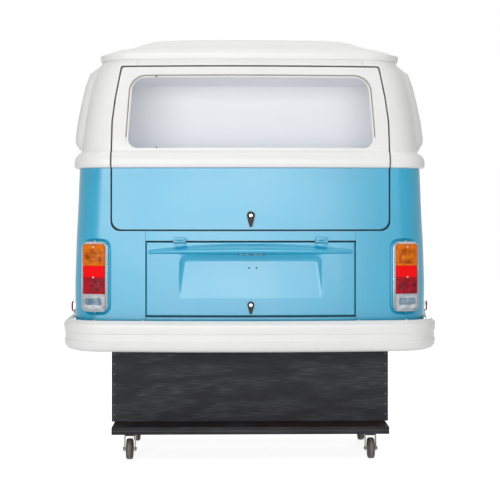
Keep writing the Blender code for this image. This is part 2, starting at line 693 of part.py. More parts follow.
# Latches: a tear-drop paddle lock on each door, with its key barrel
LATCH_THICK = 0.012
LATCH_STEPS = 12
BARREL_PROUD = 0.004
HATCH_LATCH = {"rise": 0.091, "height": 0.076, "half": 0.0195}
LID_LATCH = {"rise": 0.072, "height": 0.060, "half": 0.0165}
for name, low, size in (("hatch_latch", HATCH_LOW_Z, HATCH_LATCH), ("lid_latch", LID_LOW_Z, LID_LATCH)):
    half = size["half"]
    head_z = low + size["rise"] - half
    foot_z = low + size["rise"] - size["height"]
    tip = half / 3
    outline = []
    for step in range(LATCH_STEPS + 1):
        angle = math.pi * step / LATCH_STEPS
        outline.append((half * math.cos(angle), head_z + half * math.sin(angle)))
    outline += [(-tip, foot_z + tip / 2), (0, foot_z), (tip, foot_z + tip / 2)]
    latch = prism(name, outline, depth(-LATCH_THICK), depth(-SEAM), BLACK_METAL)
    joined(latch, rod_cutter(f"{name}_barrel", (0, depth(-LATCH_THICK - BARREL_PROUD), head_z),
                             (0, depth(-LATCH_THICK / 2), head_z), half / 2))

# What swings with the hatch and with the lid hangs from an empty on its hinge's axis
hatch_pivot = pivot("hatch_axis", (0, hatch_axis_y, hatch_axis_up))
for name in ("hatch_upper", "hatch_lower", "hatch_latch"):
    hang(bpy.data.objects[name], hatch_pivot)
lid_pivot = pivot("lid_axis", (0, lid_axis_y, LID_TOP_Z))
for name in ("lid", "lid_latch"):
    hang(bpy.data.objects[name], lid_pivot)

# Tail lamps: a housing let into each corner, with amber, red and clear lenses one over another
LAMP_TURN = math.radians(14.5)
LAMP_HALF = 0.066
LAMP_HEIGHT = 0.339
LAMP_RISE = 0.097
LAMP_LOW_Z = SKIRT_Z + LAMP_RISE
LAMP_RADIUS = 0.030
LAMP_SEAT = 0.022
LAMP_PROUD = 0.004
LENS_MARGIN = 0.011
LENS_PROUD = 0.016
LENS_SOFT = 0.006
LENS_BRIM_SHARE = 0.5
LENS_LOW_Z = LAMP_LOW_Z + LENS_MARGIN
LENS_HEIGHT = LAMP_HEIGHT - LENS_MARGIN * 2
CLEAR_SHARE = 0.24
RED_SHARE = 0.67
LENSES = (("clear", CLEAR_LENS, 0, CLEAR_SHARE), ("red", RED_LENS, CLEAR_SHARE, RED_SHARE),
          ("amber", AMBER_LENS, RED_SHARE, 1))
LEDGE_SIDE = 0.030
LEDGE_END = 0.017
LEDGE_FOOT = 0.002
LEDGE_DEPTH = 0.020
LAMP_MIDDLE_Z = LAMP_LOW_Z + LAMP_HEIGHT / 2


def lamp_outline(shrink, widen=0.0):
    half = LAMP_HALF - shrink + widen
    low, high = LAMP_LOW_Z + shrink, LAMP_LOW_Z + LAMP_HEIGHT - shrink
    radius = LAMP_RADIUS - shrink
    return rounded(both_sides([(half, low, radius), (half, high, radius)]))


def lamp_ring(outline, inward, place):
    return [place @ Vector((across, inward, up)) for across, up in outline]


def lamp_place(side):
    level = skin_level(LAMP_MIDDLE_Z)
    middle_across, middle_forward = corner_centre(level)
    across = middle_across + level[2] * math.sin(LAMP_TURN)
    forward = middle_forward - level[2] * math.cos(LAMP_TURN)
    return Matrix.Translation((side * across, depth(forward), 0)) @ Matrix.Rotation(side * LAMP_TURN, 4, "Z")


for side_name, side in (("left", -1), ("right", 1)):
    place = lamp_place(side)
    quarter = bpy.data.objects[f"quarter_lower_{side_name}"]
    mouth = lamp_outline(-LEDGE_END, LEDGE_SIDE - LEDGE_END)
    foot = lamp_outline(-LEDGE_FOOT)
    rings = [lamp_ring(mouth, -OVERRUN, place), lamp_ring(mouth, 0, place), lamp_ring(foot, LEDGE_DEPTH, place)]
    boolean(quarter, as_cutter(loft(f"lamp_ledge_{side_name}", rings, group=cutters)))
    seat = LAMP_SEAT + SEAM
    boolean(quarter, prism_cutter(f"lamp_pocket_{side_name}", lamp_outline(-SEAM), -OVERRUN, seat, place))
    prism(f"lamp_housing_{side_name}", lamp_outline(0), -LAMP_PROUD, LAMP_SEAT, CHROME, place=place)
    brim, face = lamp_outline(LENS_MARGIN), lamp_outline(LENS_MARGIN + LENS_SOFT)
    brim_proud = LAMP_PROUD + LENS_PROUD * LENS_BRIM_SHARE
    rings = [lamp_ring(brim, -LAMP_PROUD - SEAM, place), lamp_ring(brim, -brim_proud, place),
             lamp_ring(face, -LAMP_PROUD - LENS_PROUD, place)]
    for colour, paint, low_share, high_share in LENSES:
        lens = loft(f"lens_{colour}_{side_name}", rings, paint)
        low = LENS_LOW_Z + LENS_HEIGHT * low_share + (SEAM / 2 if low_share else -OVERRUN)
        high = LENS_LOW_Z + LENS_HEIGHT * high_share - (SEAM / 2 if high_share < 1 else -OVERRUN)
        boolean(lens, block_cutter(f"lens_band_{colour}_{side_name}", (-BODY_HALF - OVERRUN, near, low),
                                   (BODY_HALF + OVERRUN, far, high)), "INTERSECT")

# Side markers: a small red lamp on each flank, just forward of the tail lamps
MARKER_HEIGHT = 0.064
MARKER_LENGTH = 0.150
MARKER_RISE = 0.105
MARKER_MIDDLE_Z = SKIRT_Z + MARKER_RISE
MARKER_FORWARD = 0.300
MARKER_PROUD = 0.030
for side_name, side in (("left", -1), ("right", 1)):
    half_length, half_height = MARKER_LENGTH / 2, MARKER_HEIGHT / 2
    flank = max(skin_level(MARKER_MIDDLE_Z + side_up)[0] for side_up in (-half_height, half_height))
    seat = Matrix.Translation((side * (flank + SEAM), depth(MARKER_FORWARD), MARKER_MIDDLE_Z))
    corner = half_height / 3
    outline = rounded(both_sides([(half_length, -half_height, corner), (half_length, half_height, corner)]))
    prism(f"side_marker_{side_name}", outline, -MARKER_PROUD, 0, RED_LENS,
          place=seat @ Matrix.Rotation(side * math.pi / 2, 4, "Z"))

# Air scoops: a raised ear down each upper corner, open towards the front
SCOOP_LEVEL_SHARES = (
    (0.0, 0.10), (0.035, 0.50), (0.10, 0.90), (0.16, 1.0), (0.34, 1.0), (0.56, 0.97), (0.75, 0.97),
    (0.90, 0.96), (0.985, 0.33))
SCOOP_BULGE = 0.055
SCOOP_LENGTH = 0.150
SCOOP_WALL = 0.004
SCOOP_MOUTH_SHARES = ((0.12, 0.90), (0.40, 0.97), (0.84, 0.70))
SCOOP_SECTION_SHARES = ((0.0, 0.0), (0.50, 0.12), (0.85, 0.30), (1.0, 0.55), (0.97, 0.92), (0.0, 1.0))
for side_name, side in (("left", -1), ("right", 1)):
    sections = []
    for up_share, bulge_share in SCOOP_LEVEL_SHARES:
        up = BELT_TOP_Z + (HEADER_TOP_Z - BELT_TOP_Z) * up_share
        half = skin_level(up)[0]
        start = corner_centre(skin_level(up))[1]
        section = []
        for out_share, along_share in SCOOP_SECTION_SHARES:
            across = half + SEAM + SCOOP_BULGE * bulge_share * out_share
            section.append((side * across, depth(start + SCOOP_LENGTH * along_share), up))
        sections.append(section)
    scoop = loft(f"scoop_{side_name}", sections, WHITE_PAINT)
    mouth = bmesh.new()
    for up_share, bulge_share in SCOOP_MOUTH_SHARES:
        up = BELT_TOP_Z + (HEADER_TOP_Z - BELT_TOP_Z) * up_share
        half, start = skin_level(up)[0], corner_centre(skin_level(up))[1]
        within, without = half + SCOOP_WALL, half + SCOOP_BULGE * bulge_share - SCOOP_WALL
        deep, open_end = start + SCOOP_LENGTH / 2, start + SCOOP_LENGTH + SCOOP_WALL
        for across, along in ((within, deep), (without, deep), (without, open_end), (within, open_end)):
            mouth.verts.new((side * across, depth(along), up))
    bmesh.ops.convex_hull(mouth, input=mouth.verts)
    boolean(scoop, as_cutter(keep(f"scoop_mouth_{side_name}", mouth, None, cutters)))

# Bumper: a pressed channel that stands off the tail and wraps both corners
BUMPER_DROP = 0.087
BUMPER_LOW_Z = SKIRT_Z - BUMPER_DROP
BUMPER_HEIGHT = 0.152
BUMPER_INSIDE = 0.005
BUMPER_OUTSIDE = 0.049
BUMPER_STANDOFF = BUMPER_REACH - BUMPER_OUTSIDE
BUMPER_WING_END = 0.285
BUMPER_OUTER_SHARES = (
    (0.0, 0.0), (0.30, 0.0), (0.62, 0.04), (0.82, 0.12), (0.93, 0.22), (0.95, 0.32), (0.84, 0.36), (0.84, 0.56),
    (0.93, 0.585), (1.0, 0.79), (0.93, 0.87), (0.50, 0.98), (0.0, 0.97))
CHANNEL_FLOOR_SHARE = 0.72
BUMPER_INNER_SHARES = (
    (0.0, 0.92), (0.45, 0.94), (0.76, 0.86), (0.86, 0.76), (CHANNEL_FLOOR_SHARE, 0.62),
    (CHANNEL_FLOOR_SHARE, 0.36), (0.82, 0.28), (0.74, 0.17), (0.58, 0.10), (0.34, 0.05), (0.0, 0.05))


def bumper_row(out_share, up_share):
    out = BUMPER_INSIDE + (BUMPER_OUTSIDE - BUMPER_INSIDE) * out_share
    up = BUMPER_LOW_Z + BUMPER_HEIGHT * up_share
    return (BODY_HALF + out, -BUMPER_STANDOFF - out, LOWER_RADIUS + out, up)


bumper_rows = [bumper_row(*shares) for shares in BUMPER_OUTER_SHARES + BUMPER_INNER_SHARES]
wall("bumper", bumper_rows, BUMPER_WING_END, WHITE_PAINT)

# Box: black-stained ply boards on a base board
PLY = 0.018
board_top = CASTOR_HEIGHT + BOARD_THICK
box_low = board_top + SEAM


def board(name, half, near, far, low, high):
    return block(name, (-half, depth(near), low), (half, depth(far), high), BLACK_STAIN)


board("base_board", BOARD_HALF, BOARD_START, BOARD_END, CASTOR_HEIGHT, board_top)
board("box_tail", BOX_HALF, BOX_START, BOX_START + PLY, box_low, BOX_TOP_Z)
board("box_front", BOX_HALF, BOX_END - PLY, BOX_END, box_low, BOX_TOP_Z)
for side_name, side in (("left", -1), ("right", 1)):
    left, right = sorted((side * BOX_HALF, side * (BOX_HALF - PLY)))
    block(f"box_{side_name}", (left, depth(BOX_START + PLY + SEAM), box_low),
          (right, depth(BOX_END - PLY - SEAM), BOX_TOP_Z), BLACK_STAIN)

# Inside: the deck on the box, the counter at sill height, the ceiling and the back panel
COUNTER_DROP = 0.010
CEILING_DROP = 0.048
COUNTER_TOP_Z = HATCH_LOW_Z - COUNTER_DROP
CEILING_Z = HATCH_TOP_Z - CEILING_DROP
CEILING_START = 0.165
CEILING_THICK = 0.012
BACK_PANEL = 0.018
inside_end = BODY_DEPTH - BACK_PANEL - SEAM
inside_half = LINING_HALF - SEAM
deck_low = BOX_TOP_Z + SEAM
for name, low in (("deck", deck_low), ("counter", COUNTER_TOP_Z - PLY)):
    slab(name, inside_half, WALL + SEAM, LINING_RADIUS - SEAM, inside_end, low, low + PLY, WHITE_LINING)
ceiling_top = CEILING_Z + CEILING_THICK
ceiling_half = lining_level(ceiling_top)[0] - SEAM
ceiling_radius = UPPER_RADIUS - WALL
slab("ceiling", ceiling_half, CEILING_START, ceiling_radius, inside_end, CEILING_Z, ceiling_top, WHITE_LINING)
back_right = [(inside_half, deck_low, 0), (inside_half, BELT_LOW_Z, 0)]
back_right += [(half - SEAM, up, 0) for half, back, radius, up in upper_lining[::-1][1:-1]]
back_right += [(half - SEAM, up - SEAM * 2, 0) for half, back, radius, up in roof_inside()]
back_near, back_far = depth(BODY_DEPTH - BACK_PANEL), depth(BODY_DEPTH)
prism("back_panel", rounded(both_sides(back_right)), back_near, back_far, WHITE_LINING)

# Bumper brackets: a flat bar from the box out to the bumper's inner face
BRACKET_INSET = 0.266
BRACKET_HALF = BOX_HALF - BRACKET_INSET
BRACKET_WIDTH = 0.040
BRACKET_THICK = 0.006
BRACKET_RAISED = 0.062
BRACKET_Z = BUMPER_LOW_Z + BRACKET_RAISED
BRACKET_RISE = 0.050
bar_top = BRACKET_Z + BRACKET_THICK
channel = bumper_row(CHANNEL_FLOOR_SHARE, 0)[:3]
for side_name, side in (("left", -1), ("right", 1)):
    left, right = side * BRACKET_HALF - BRACKET_WIDTH / 2, side * BRACKET_HALF + BRACKET_WIDTH / 2
    tip = depth(bow(channel, BRACKET_HALF + BRACKET_WIDTH / 2)) + SEAM
    root = depth(BOX_START) - SEAM
    foot_low, tab_top = BRACKET_Z - BRACKET_RISE, BRACKET_Z + BRACKET_RISE
    profile = [(tip, BRACKET_Z), (root - BRACKET_THICK, BRACKET_Z), (root - BRACKET_THICK, foot_low),
               (root, foot_low), (root, bar_top), (tip + BRACKET_THICK, bar_top), (tip + BRACKET_THICK, tab_top),
               (tip, tab_top)]
    sides = [[(across, *point) for point in profile] for across in (left, right)]
    loft(f"bumper_bracket_{side_name}", sides, BLACK_METAL)

# Castors: plate, swivel fork and wheel at each corner of the base board
CASTOR_SIDE_INSET = 0.084
CASTOR_END_INSET = 0.082
CASTOR_HALF = BOARD_HALF - CASTOR_SIDE_INSET
WHEEL_RADIUS = 0.050
TREAD_WIDTH = 0.032
CASTOR_TRAIL = 0.030
PLATE_WIDTH = 0.074
PLATE_LENGTH = 0.094
PLATE_THICK = 0.004
RACE_RADIUS = 0.026
RACE_HEIGHT = 0.008
FORK_THICK = 0.003
FORK_GAP = 0.0015
FORK_SIDE_CLEARANCE = 0.005
FORK_WIDTH = 0.038
FORK_FOOT = 0.012
AXLE_RADIUS = 0.005
AXLE_HEAD = 0.006
HUB_PROUD = 0.003
HUB_HALF = TREAD_WIDTH / 2 + HUB_PROUD
INNER_HALF = HUB_HALF + FORK_SIDE_CLEARANCE
OUTER_HALF = INNER_HALF + FORK_THICK
AXLE_HALF = OUTER_HALF + AXLE_HEAD
plate_low = CASTOR_HEIGHT - SEAM - PLATE_THICK
race_low = plate_low - RACE_HEIGHT
crown_top = race_low - FORK_GAP
crown_low = crown_top - FORK_THICK


def castor(tag, x, y):
    """One castor under the base board. Its swivel turns about (x, y), and its wheel trails towards the tail."""
    plate = block(f"castor_plate_{tag}", (x - PLATE_WIDTH / 2, y - PLATE_LENGTH / 2, plate_low),
                  (x + PLATE_WIDTH / 2, y + PLATE_LENGTH / 2, CASTOR_HEIGHT - SEAM), ZINC)
    race_top = plate_low + PLATE_THICK / 2
    joined(plate, rod_cutter(f"castor_race_{tag}", (x, y, race_low), (x, y, race_top), RACE_RADIUS))
    wheel_y = y - CASTOR_TRAIL

    def across_axle(half):
        return (x - half, wheel_y, WHEEL_RADIUS), (x + half, wheel_y, WHEEL_RADIUS)

    profile = rounded([(y + FORK_WIDTH / 2, crown_top, 0), (y - FORK_WIDTH, crown_top, 0),
                       (wheel_y - FORK_FOOT, WHEEL_RADIUS - FORK_FOOT, FORK_FOOT / 2),
                       (wheel_y + FORK_FOOT, WHEEL_RADIUS - FORK_FOOT, FORK_FOOT / 2)])
    sides = [[(across, *point) for point in profile] for across in (x - OUTER_HALF, x + OUTER_HALF)]
    fork = loft(f"castor_fork_{tag}", sides, ZINC)
    boolean(fork, block_cutter(f"fork_throat_{tag}", (x - INNER_HALF, y - FORK_WIDTH - OVERRUN, 0),
                               (x + INNER_HALF, y + FORK_WIDTH + OVERRUN, crown_low)))
    joined(fork, rod_cutter(f"fork_axle_{tag}", *across_axle(AXLE_HALF), AXLE_RADIUS))
    joined(fork, rod_cutter(f"fork_kingpin_{tag}", (x, y, crown_low + FORK_THICK / 2), (x, y, race_low - SEAM),
                            AXLE_RADIUS))

    wheel = rod(f"castor_wheel_{tag}", *across_axle(TREAD_WIDTH / 2), WHEEL_RADIUS, RUBBER)
    joined(wheel, rod_cutter(f"wheel_hub_{tag}", *across_axle(HUB_HALF), WHEEL_RADIUS / 2))
    bore_radius = AXLE_RADIUS + PIN_CLEARANCE
    boolean(wheel, rod_cutter(f"wheel_bore_{tag}", *across_axle(HUB_HALF + OVERRUN), bore_radius))

    swivel = pivot(f"swivel_axis_{tag}", (x, y, 0))
    axle = pivot(f"axle_axis_{tag}", (x, wheel_y, WHEEL_RADIUS))
    hang(axle, swivel)
    hang(fork, swivel)
    hang(wheel, axle)


for end_name, forward in (("tail", BOARD_START + CASTOR_END_INSET), ("front", BOARD_END - CASTOR_END_INSET)):
    for side_name, side in (("left", -1), ("right", 1)):
        castor(f"{end_name}_{side_name}", side * CASTOR_HALF, depth(forward))
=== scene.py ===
import math

import bmesh
import bpy
from mathutils import Matrix, Vector
from mathutils.bvhtree import BVHTree


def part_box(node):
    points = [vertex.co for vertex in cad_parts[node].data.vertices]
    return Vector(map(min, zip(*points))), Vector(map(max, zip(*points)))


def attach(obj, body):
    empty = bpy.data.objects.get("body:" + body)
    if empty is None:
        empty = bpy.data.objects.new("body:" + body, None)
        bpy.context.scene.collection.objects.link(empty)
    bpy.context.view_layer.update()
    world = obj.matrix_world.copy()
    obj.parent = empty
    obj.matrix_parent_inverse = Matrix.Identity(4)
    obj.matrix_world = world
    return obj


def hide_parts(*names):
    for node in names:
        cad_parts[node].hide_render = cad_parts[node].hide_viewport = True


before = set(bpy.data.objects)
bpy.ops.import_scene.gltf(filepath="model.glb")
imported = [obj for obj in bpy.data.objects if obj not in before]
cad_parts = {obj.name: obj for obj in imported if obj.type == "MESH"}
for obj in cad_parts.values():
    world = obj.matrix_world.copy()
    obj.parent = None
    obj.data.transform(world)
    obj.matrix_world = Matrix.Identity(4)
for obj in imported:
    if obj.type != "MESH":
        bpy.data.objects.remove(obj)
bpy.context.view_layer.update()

# Studio.
# A white room seen dead level from the tail through a long lens. One broad soft lamp stands behind the
# camera, weaker ones hang overhead and stand behind the van, and a small one lies inside, on the counter.
EYE_HEIGHT = 1.24
EYE_DISTANCE = 5.0
EYE_YAW = math.radians(1.0)
EYE_LENS = 75.0
EYE_FILM = 36.0
EYE_DROP = -0.091
EYE_OFFSET = -0.004
TAIL_PLANE = -0.254
FLOOR_HALF = 300.0
WALL_LIGHT = 0.27
FLOOR_LIFT = 0.78

across_view = Vector((math.cos(EYE_YAW), -math.sin(EYE_YAW), 0))
into_view = Vector((math.sin(EYE_YAW), math.cos(EYE_YAW), 0))
camera = bpy.data.objects.new("camera", bpy.data.cameras.new("camera"))
camera.data.lens = EYE_LENS
camera.data.sensor_width = EYE_FILM
camera.data.shift_y = EYE_DROP
camera.location = Vector((0, TAIL_PLANE, EYE_HEIGHT)) - into_view * EYE_DISTANCE + across_view * EYE_OFFSET
camera.rotation_euler = (math.pi / 2, 0, -EYE_YAW)
bpy.context.scene.collection.objects.link(camera)
bpy.context.scene.camera = camera
bpy.context.scene.view_settings.view_transform = "Standard"


def soft_lamp(name, place, aim, width, height, power):
    """A softbox of this size and power that looks from its place at its aim."""
    lamp = bpy.data.objects.new(name, bpy.data.lights.new(name, "AREA"))
    lamp.data.shape = "RECTANGLE"
    lamp.data.size = width
    lamp.data.size_y = height
    lamp.data.energy = power
    lamp.location = place
    lamp.rotation_euler = (Vector(aim) - Vector(place)).to_track_quat("-Z", "Y").to_euler()
    lamp.visible_camera = False
    bpy.context.scene.collection.objects.link(lamp)


soft_lamp("front_lamp", (-1.0, -7.6, 1.6), (-0.2, 0, 1.2), 6.6, 3.0, 358)
soft_lamp("top_lamp", (0.0, -0.6, 5.2), (0, 0, 0), 4.5, 3.5, 78)
soft_lamp("back_lamp", (1.5, 7.6, 2.4), (0, 0, 1.0), 4.0, 3.0, 190)
soft_lamp("inside_lamp", (0, -0.06, 1.135), (0, -0.06, 2), 1.50, 0.18, 2.1)


def add(tree, kind, links=None, **settings):
    """Adds a node, sets its attributes or, by number, its inputs, and links (input, source socket) pairs."""
    node = tree.nodes.new(kind)
    for key, value in settings.items():
        if key.startswith("in_"):
            node.inputs[int(key[3:])].default_value = value
        else:
            setattr(node, key, value)
    for key, socket in (links or {}).items():
        tree.links.new(socket, node.inputs[key])
    return node


def maths(tree, operation, first, second=0.0, clamped=False):
    """A sum on a socket and, where it takes two values, a second socket or a number."""
    sum_node = add(tree, "ShaderNodeMath", {0: first}, operation=operation, use_clamp=clamped)
    if isinstance(second, float):
        sum_node.inputs[1].default_value = second
    else:
        tree.links.new(second, sum_node.inputs[1])
    return sum_node.outputs[0]


def straight_rays(tree):
    """One where the eye, a mirror or a clear lens looks at the surface, and zero where only light falls on it."""
    path = add(tree, "ShaderNodeLightPath").outputs
    return maths(tree, "MAXIMUM", maths(tree, "MAXIMUM", path["Is Camera Ray"], path["Is Glossy Ray"]),
                 path["Is Transmission Ray"])


room = bpy.data.worlds.new("white_room")
room.use_nodes = True
bpy.context.scene.world = room
sky = room.node_tree
sky.nodes.clear()
walls = add(sky, "ShaderNodeBackground", in_0=(0.97, 0.98, 1.0, 1), in_1=WALL_LIGHT)
backdrop = add(sky, "ShaderNodeBackground", in_0=(1, 1, 1, 1), in_1=1.0)
room_seen = add(sky, "ShaderNodeMixShader", {0: straight_rays(sky), 1: walls.outputs[0], 2: backdrop.outputs[0]})
add(sky, "ShaderNodeOutputWorld", {0: room_seen.outputs[0]})


def new_material(name):
    """A node material, its node tree and its Principled shader."""
    material = bpy.data.materials.new(name)
    material.use_nodes = True
    tree = material.node_tree
    return material, tree, tree.nodes["Principled BSDF"]


floor_shape = bmesh.new()
bmesh.ops.create_grid(floor_shape, x_segments=1, y_segments=1, size=FLOOR_HALF)
floor_mesh = bpy.data.meshes.new("studio_floor")
floor_shape.to_mesh(floor_mesh)
floor_shape.free()
studio_floor = bpy.data.objects.new("studio_floor", floor_mesh)
bpy.context.scene.collection.objects.link(studio_floor)
floor_paint, floor_tree, floor_shader = new_material("studio_floor_white")
floor_shader.inputs["Base Color"].default_value = (0.88, 0.88, 0.88, 1)
floor_shader.inputs["Roughness"].default_value = 0.9
floor_shader.inputs["Specular IOR Level"].default_value = 0.0
floor_dark = add(floor_tree, "ShaderNodeEmission", in_0=(0, 0, 0, 1), in_1=0.0)
floor_glow = add(floor_tree, "ShaderNodeEmission", in_0=(1, 1, 1, 1), in_1=FLOOR_LIFT)
floor_lift = add(floor_tree, "ShaderNodeMixShader", {0: straight_rays(floor_tree), 1: floor_dark.outputs[0],
                                                    2: floor_glow.outputs[0]})
floor_sum = add(floor_tree, "ShaderNodeAddShader", {0: floor_shader.outputs[0], 1: floor_lift.outputs[0]})
floor_tree.links.new(floor_sum.outputs[0], floor_tree.nodes["Material Output"].inputs[0])
floor_mesh.materials.append(floor_paint)

# Moulded white shell: roof, header, upper quarters, air scoops and the hatch's upper half.
# Gelcoat over glass fibre, rolled smooth, so it is glossy with a faint orange peel and a warm cast.
WELD_REACH = 0.00002
FLAT_ANGLE, EDGE_ANGLE = math.radians(0.4), math.radians(34)


def dress(node, material, soft=0.0):
    """Gives a CAD piece its finish. Its loose triangles are welded and shaded smooth, and its edges eased."""
    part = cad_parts[node]
    part.data.materials.clear()
    part.data.materials.append(material)
    if "custom_normal" in part.data.attributes:
        part.data.attributes.remove(part.data.attributes["custom_normal"])
    part.data.shade_smooth()
    weld = part.modifiers.new("weld", "WELD")
    weld.merge_threshold = WELD_REACH
    flat = part.modifiers.new("flat_faces", "DECIMATE")
    flat.decimate_type = "DISSOLVE"
    flat.angle_limit = FLAT_ANGLE
    if soft:
        eased = part.modifiers.new("eased_edges", "BEVEL")
        eased.limit_method = "ANGLE"
        eased.angle_limit = EDGE_ANGLE
        eased.width = soft
        eased.segments = 2
        eased.harden_normals = True
        eased.use_clamp_overlap = True
    else:
        split = part.modifiers.new("crisp_edges", "EDGE_SPLIT")
        split.split_angle = EDGE_ANGLE
        level = part.modifiers.new("flat_faces_lead", "WEIGHTED_NORMAL")
        level.keep_sharp = True


def object_place(tree):
    """Where on the whole van a point lies."""
    return add(tree, "ShaderNodeTexCoord").outputs["Object"]


def noise(tree, place, scale, detail=2.0):
    """A cloudy pattern over a place, finer with a greater scale."""
    clouds = add(tree, "ShaderNodeTexNoise", {"Vector": place})
    clouds.inputs["Scale"].default_value = scale
    clouds.inputs["Detail"].default_value = detail
    return clouds.outputs["Fac"]


def mapped(tree, value, low, high, start=0.0, stop=1.0):
    """A value carried from one range to another and held at its ends."""
    return add(tree, "ShaderNodeMapRange", {0: value}, in_1=low, in_2=high, in_3=start, in_4=stop).outputs[0]


def two_tone(tree, factor, first, second):
    """A colour that goes from the first to the second with a factor. The first may be a socket."""
    mix = add(tree, "ShaderNodeMix", {0: factor}, data_type="RGBA", in_7=(*second, 1))
    if isinstance(first, tuple):
        mix.inputs[6].default_value = (*first, 1)
    else:
        tree.links.new(first, mix.inputs[6])
    return mix.outputs[2]


def set_shader(tree, shader, colour, roughness, normal=None, specular=0.5, metallic=0.0, coat=0.0):
    """Sets a shader. The colour is a socket, and the roughness is a socket or a number."""
    tree.links.new(colour, shader.inputs["Base Color"])
    if isinstance(roughness, float):
        shader.inputs["Roughness"].default_value = roughness
    else:
        tree.links.new(roughness, shader.inputs["Roughness"])
    if normal:
        tree.links.new(normal, shader.inputs["Normal"])
    shader.inputs["Specular IOR Level"].default_value = specular
    shader.inputs["Metallic"].default_value = metallic
    shader.inputs["Coat Weight"].default_value = coat


PEEL_SCALE, WAVE_SCALE, WAVE_SHARE = 240, 3.0, 9.0
moulded = bpy.data.node_groups.new("moulded_surface", "ShaderNodeTree")
moulded.interface.new_socket("Ripple", in_out="INPUT", socket_type="NodeSocketFloat")
moulded.interface.new_socket("Shade", in_out="OUTPUT", socket_type="NodeSocketFloat")
moulded.interface.new_socket("Roughness", in_out="OUTPUT", socket_type="NodeSocketFloat")
moulded.interface.new_socket("Normal", in_out="OUTPUT", socket_type="NodeSocketVector")
moulded_in = add(moulded, "NodeGroupInput")
moulded_place = object_place(moulded)
moulded_peel = noise(moulded, moulded_place, PEEL_SCALE)
moulded_wave = noise(moulded, moulded_place, WAVE_SCALE)
moulded_height = add(moulded, "ShaderNodeMath", {0: moulded_wave, 2: moulded_peel}, operation="MULTIPLY_ADD",
                     in_1=WAVE_SHARE)
moulded_bump = add(moulded, "ShaderNodeBump", {"Height": moulded_height.outputs[0],
                                               "Strength": moulded_in.outputs["Ripple"]})
moulded_bump.inputs["Distance"].default_value = 0.0004
add(moulded, "NodeGroupOutput", {"Shade": mapped(moulded, moulded_wave, 0.3, 0.7),
                                 "Roughness": mapped(moulded, moulded_wave, 0.3, 0.7, 0.27, 0.35),
                                 "Normal": moulded_bump.outputs[0]})


def gelcoat(name, light, dark, ripple, specular):
    """A glossy moulded finish that drifts softly between two close colours."""
    material, tree, shader = new_material(name)
    surface = add(tree, "ShaderNodeGroup", node_tree=moulded, in_0=ripple).outputs
    tone = two_tone(tree, surface["Shade"], dark, light)
    set_shader(tree, shader, tone, surface["Roughness"], surface["Normal"], specular)
    return material


white_gelcoat = gelcoat("white_gelcoat", (0.815, 0.810, 0.800), (0.790, 0.785, 0.772), 0.25, 0.35)
for node in ("roof", "rear_header", "quarter_upper_left", "quarter_upper_right", "scoop_left", "scoop_right",
             "hatch_upper"):
    dress(node, white_gelcoat)

# Moulded blue shell: lower quarters, sill, apron and the hatch's lower half.
# The same gelcoat in a deep sky blue, which only looks pale where it mirrors the lamp behind the camera.
blue_gelcoat = gelcoat("blue_gelcoat", (0.010, 0.350, 0.550), (0.008, 0.325, 0.520), 0.25, 0.82)
for node in ("quarter_lower_left", "quarter_lower_right", "sill_strip", "apron_strip", "hatch_lower"):
    dress(node, blue_gelcoat)


# Door seals: a flat strip of black rubber behind the gap round each door, glued to the wall's inner face.
# Its black is also painted shade, standing in for the shade deep in the gaps round the doors.
# Each is drawn as the opening's outline, laid on the inside of the shell, and widened inwards.
def bumped(tree, height, distance, strength=1.0):
    """A normal that is tilted by a height."""
    bump = add(tree, "ShaderNodeBump", {"Height": height})
    bump.inputs["Distance"].default_value = distance
    bump.inputs["Strength"].default_value = strength
    return bump.outputs[0]


def mottled(name, colour, roughness, metallic=0.0, coat=0.0, grain=55.0, depth=0.0):
    """A finish with a fine mottle in its colour and its shine, and a slight texture where it has a depth."""
    material, tree, shader = new_material(name)
    mottle = noise(tree, object_place(tree), grain, 4)
    shine = mapped(tree, mottle, 0.3, 0.7, max(roughness - 0.06, 0.03), roughness + 0.08)
    tone = two_tone(tree, mottle, tuple(channel * 0.8 for channel in colour), colour)
    relief = bumped(tree, mottle, depth) if depth else None
    set_shader(tree, shader, tone, shine, relief, metallic=metallic, coat=coat)
    return material


def piece(name, shape, material, body, crease=34):
    """Makes a closed shape a piece that rides on a body, with its faces outwards and smooth up to a crease."""
    bmesh.ops.remove_doubles(shape, verts=shape.verts, dist=0.00001)
    bmesh.ops.recalc_face_normals(shape, faces=shape.faces)
    mesh = bpy.data.meshes.new(name)
    shape.to_mesh(mesh)
    shape.free()
    mesh.shade_smooth()
    mesh.set_sharp_from_angle(angle=math.radians(crease))
    mesh.materials.append(material)
    made = bpy.data.objects.new(name, mesh)
    bpy.context.scene.collection.objects.link(made)
    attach(made, body)
    return made


def outlined(right, roundings, steps=6):
    """A flat face in X and Z from the corners of its right side, each with its rounding."""
    shape = bmesh.new()
    corners = [(x, up, rounding) for (x, up), rounding in zip(right, roundings)]
    corners += [(-x, up, rounding) for x, up, rounding in reversed(corners)]
    verts = [(shape.verts.new((x, 0, up)), rounding) for x, up, rounding in corners]
    shape.faces.new([vert for vert, rounding in verts])
    for vert, rounding in verts:
        if rounding:
            bmesh.ops.bevel(shape, geom=[vert], affect="VERTICES", offset=rounding, segments=steps, profile=0.5,
                            material=-1)
    return shape


def verts_of(made):
    """The vertices among what an operator made."""
    return [item for item in made["geom"] if isinstance(item, bmesh.types.BMVert)]


def looped(right, roundings, steps=6):
    """The edges of such an outline alone, cut short enough to follow a curved wall."""
    shape = outlined(right, roundings, steps)
    for edge in shape.edges[:]:
        cuts = int(edge.calc_length() / SEAL_STEP)
        if cuts:
            bmesh.ops.subdivide_edges(shape, edges=[edge], cuts=cuts)
    bmesh.ops.delete(shape, geom=shape.faces[:], context="FACES_ONLY")
    return shape


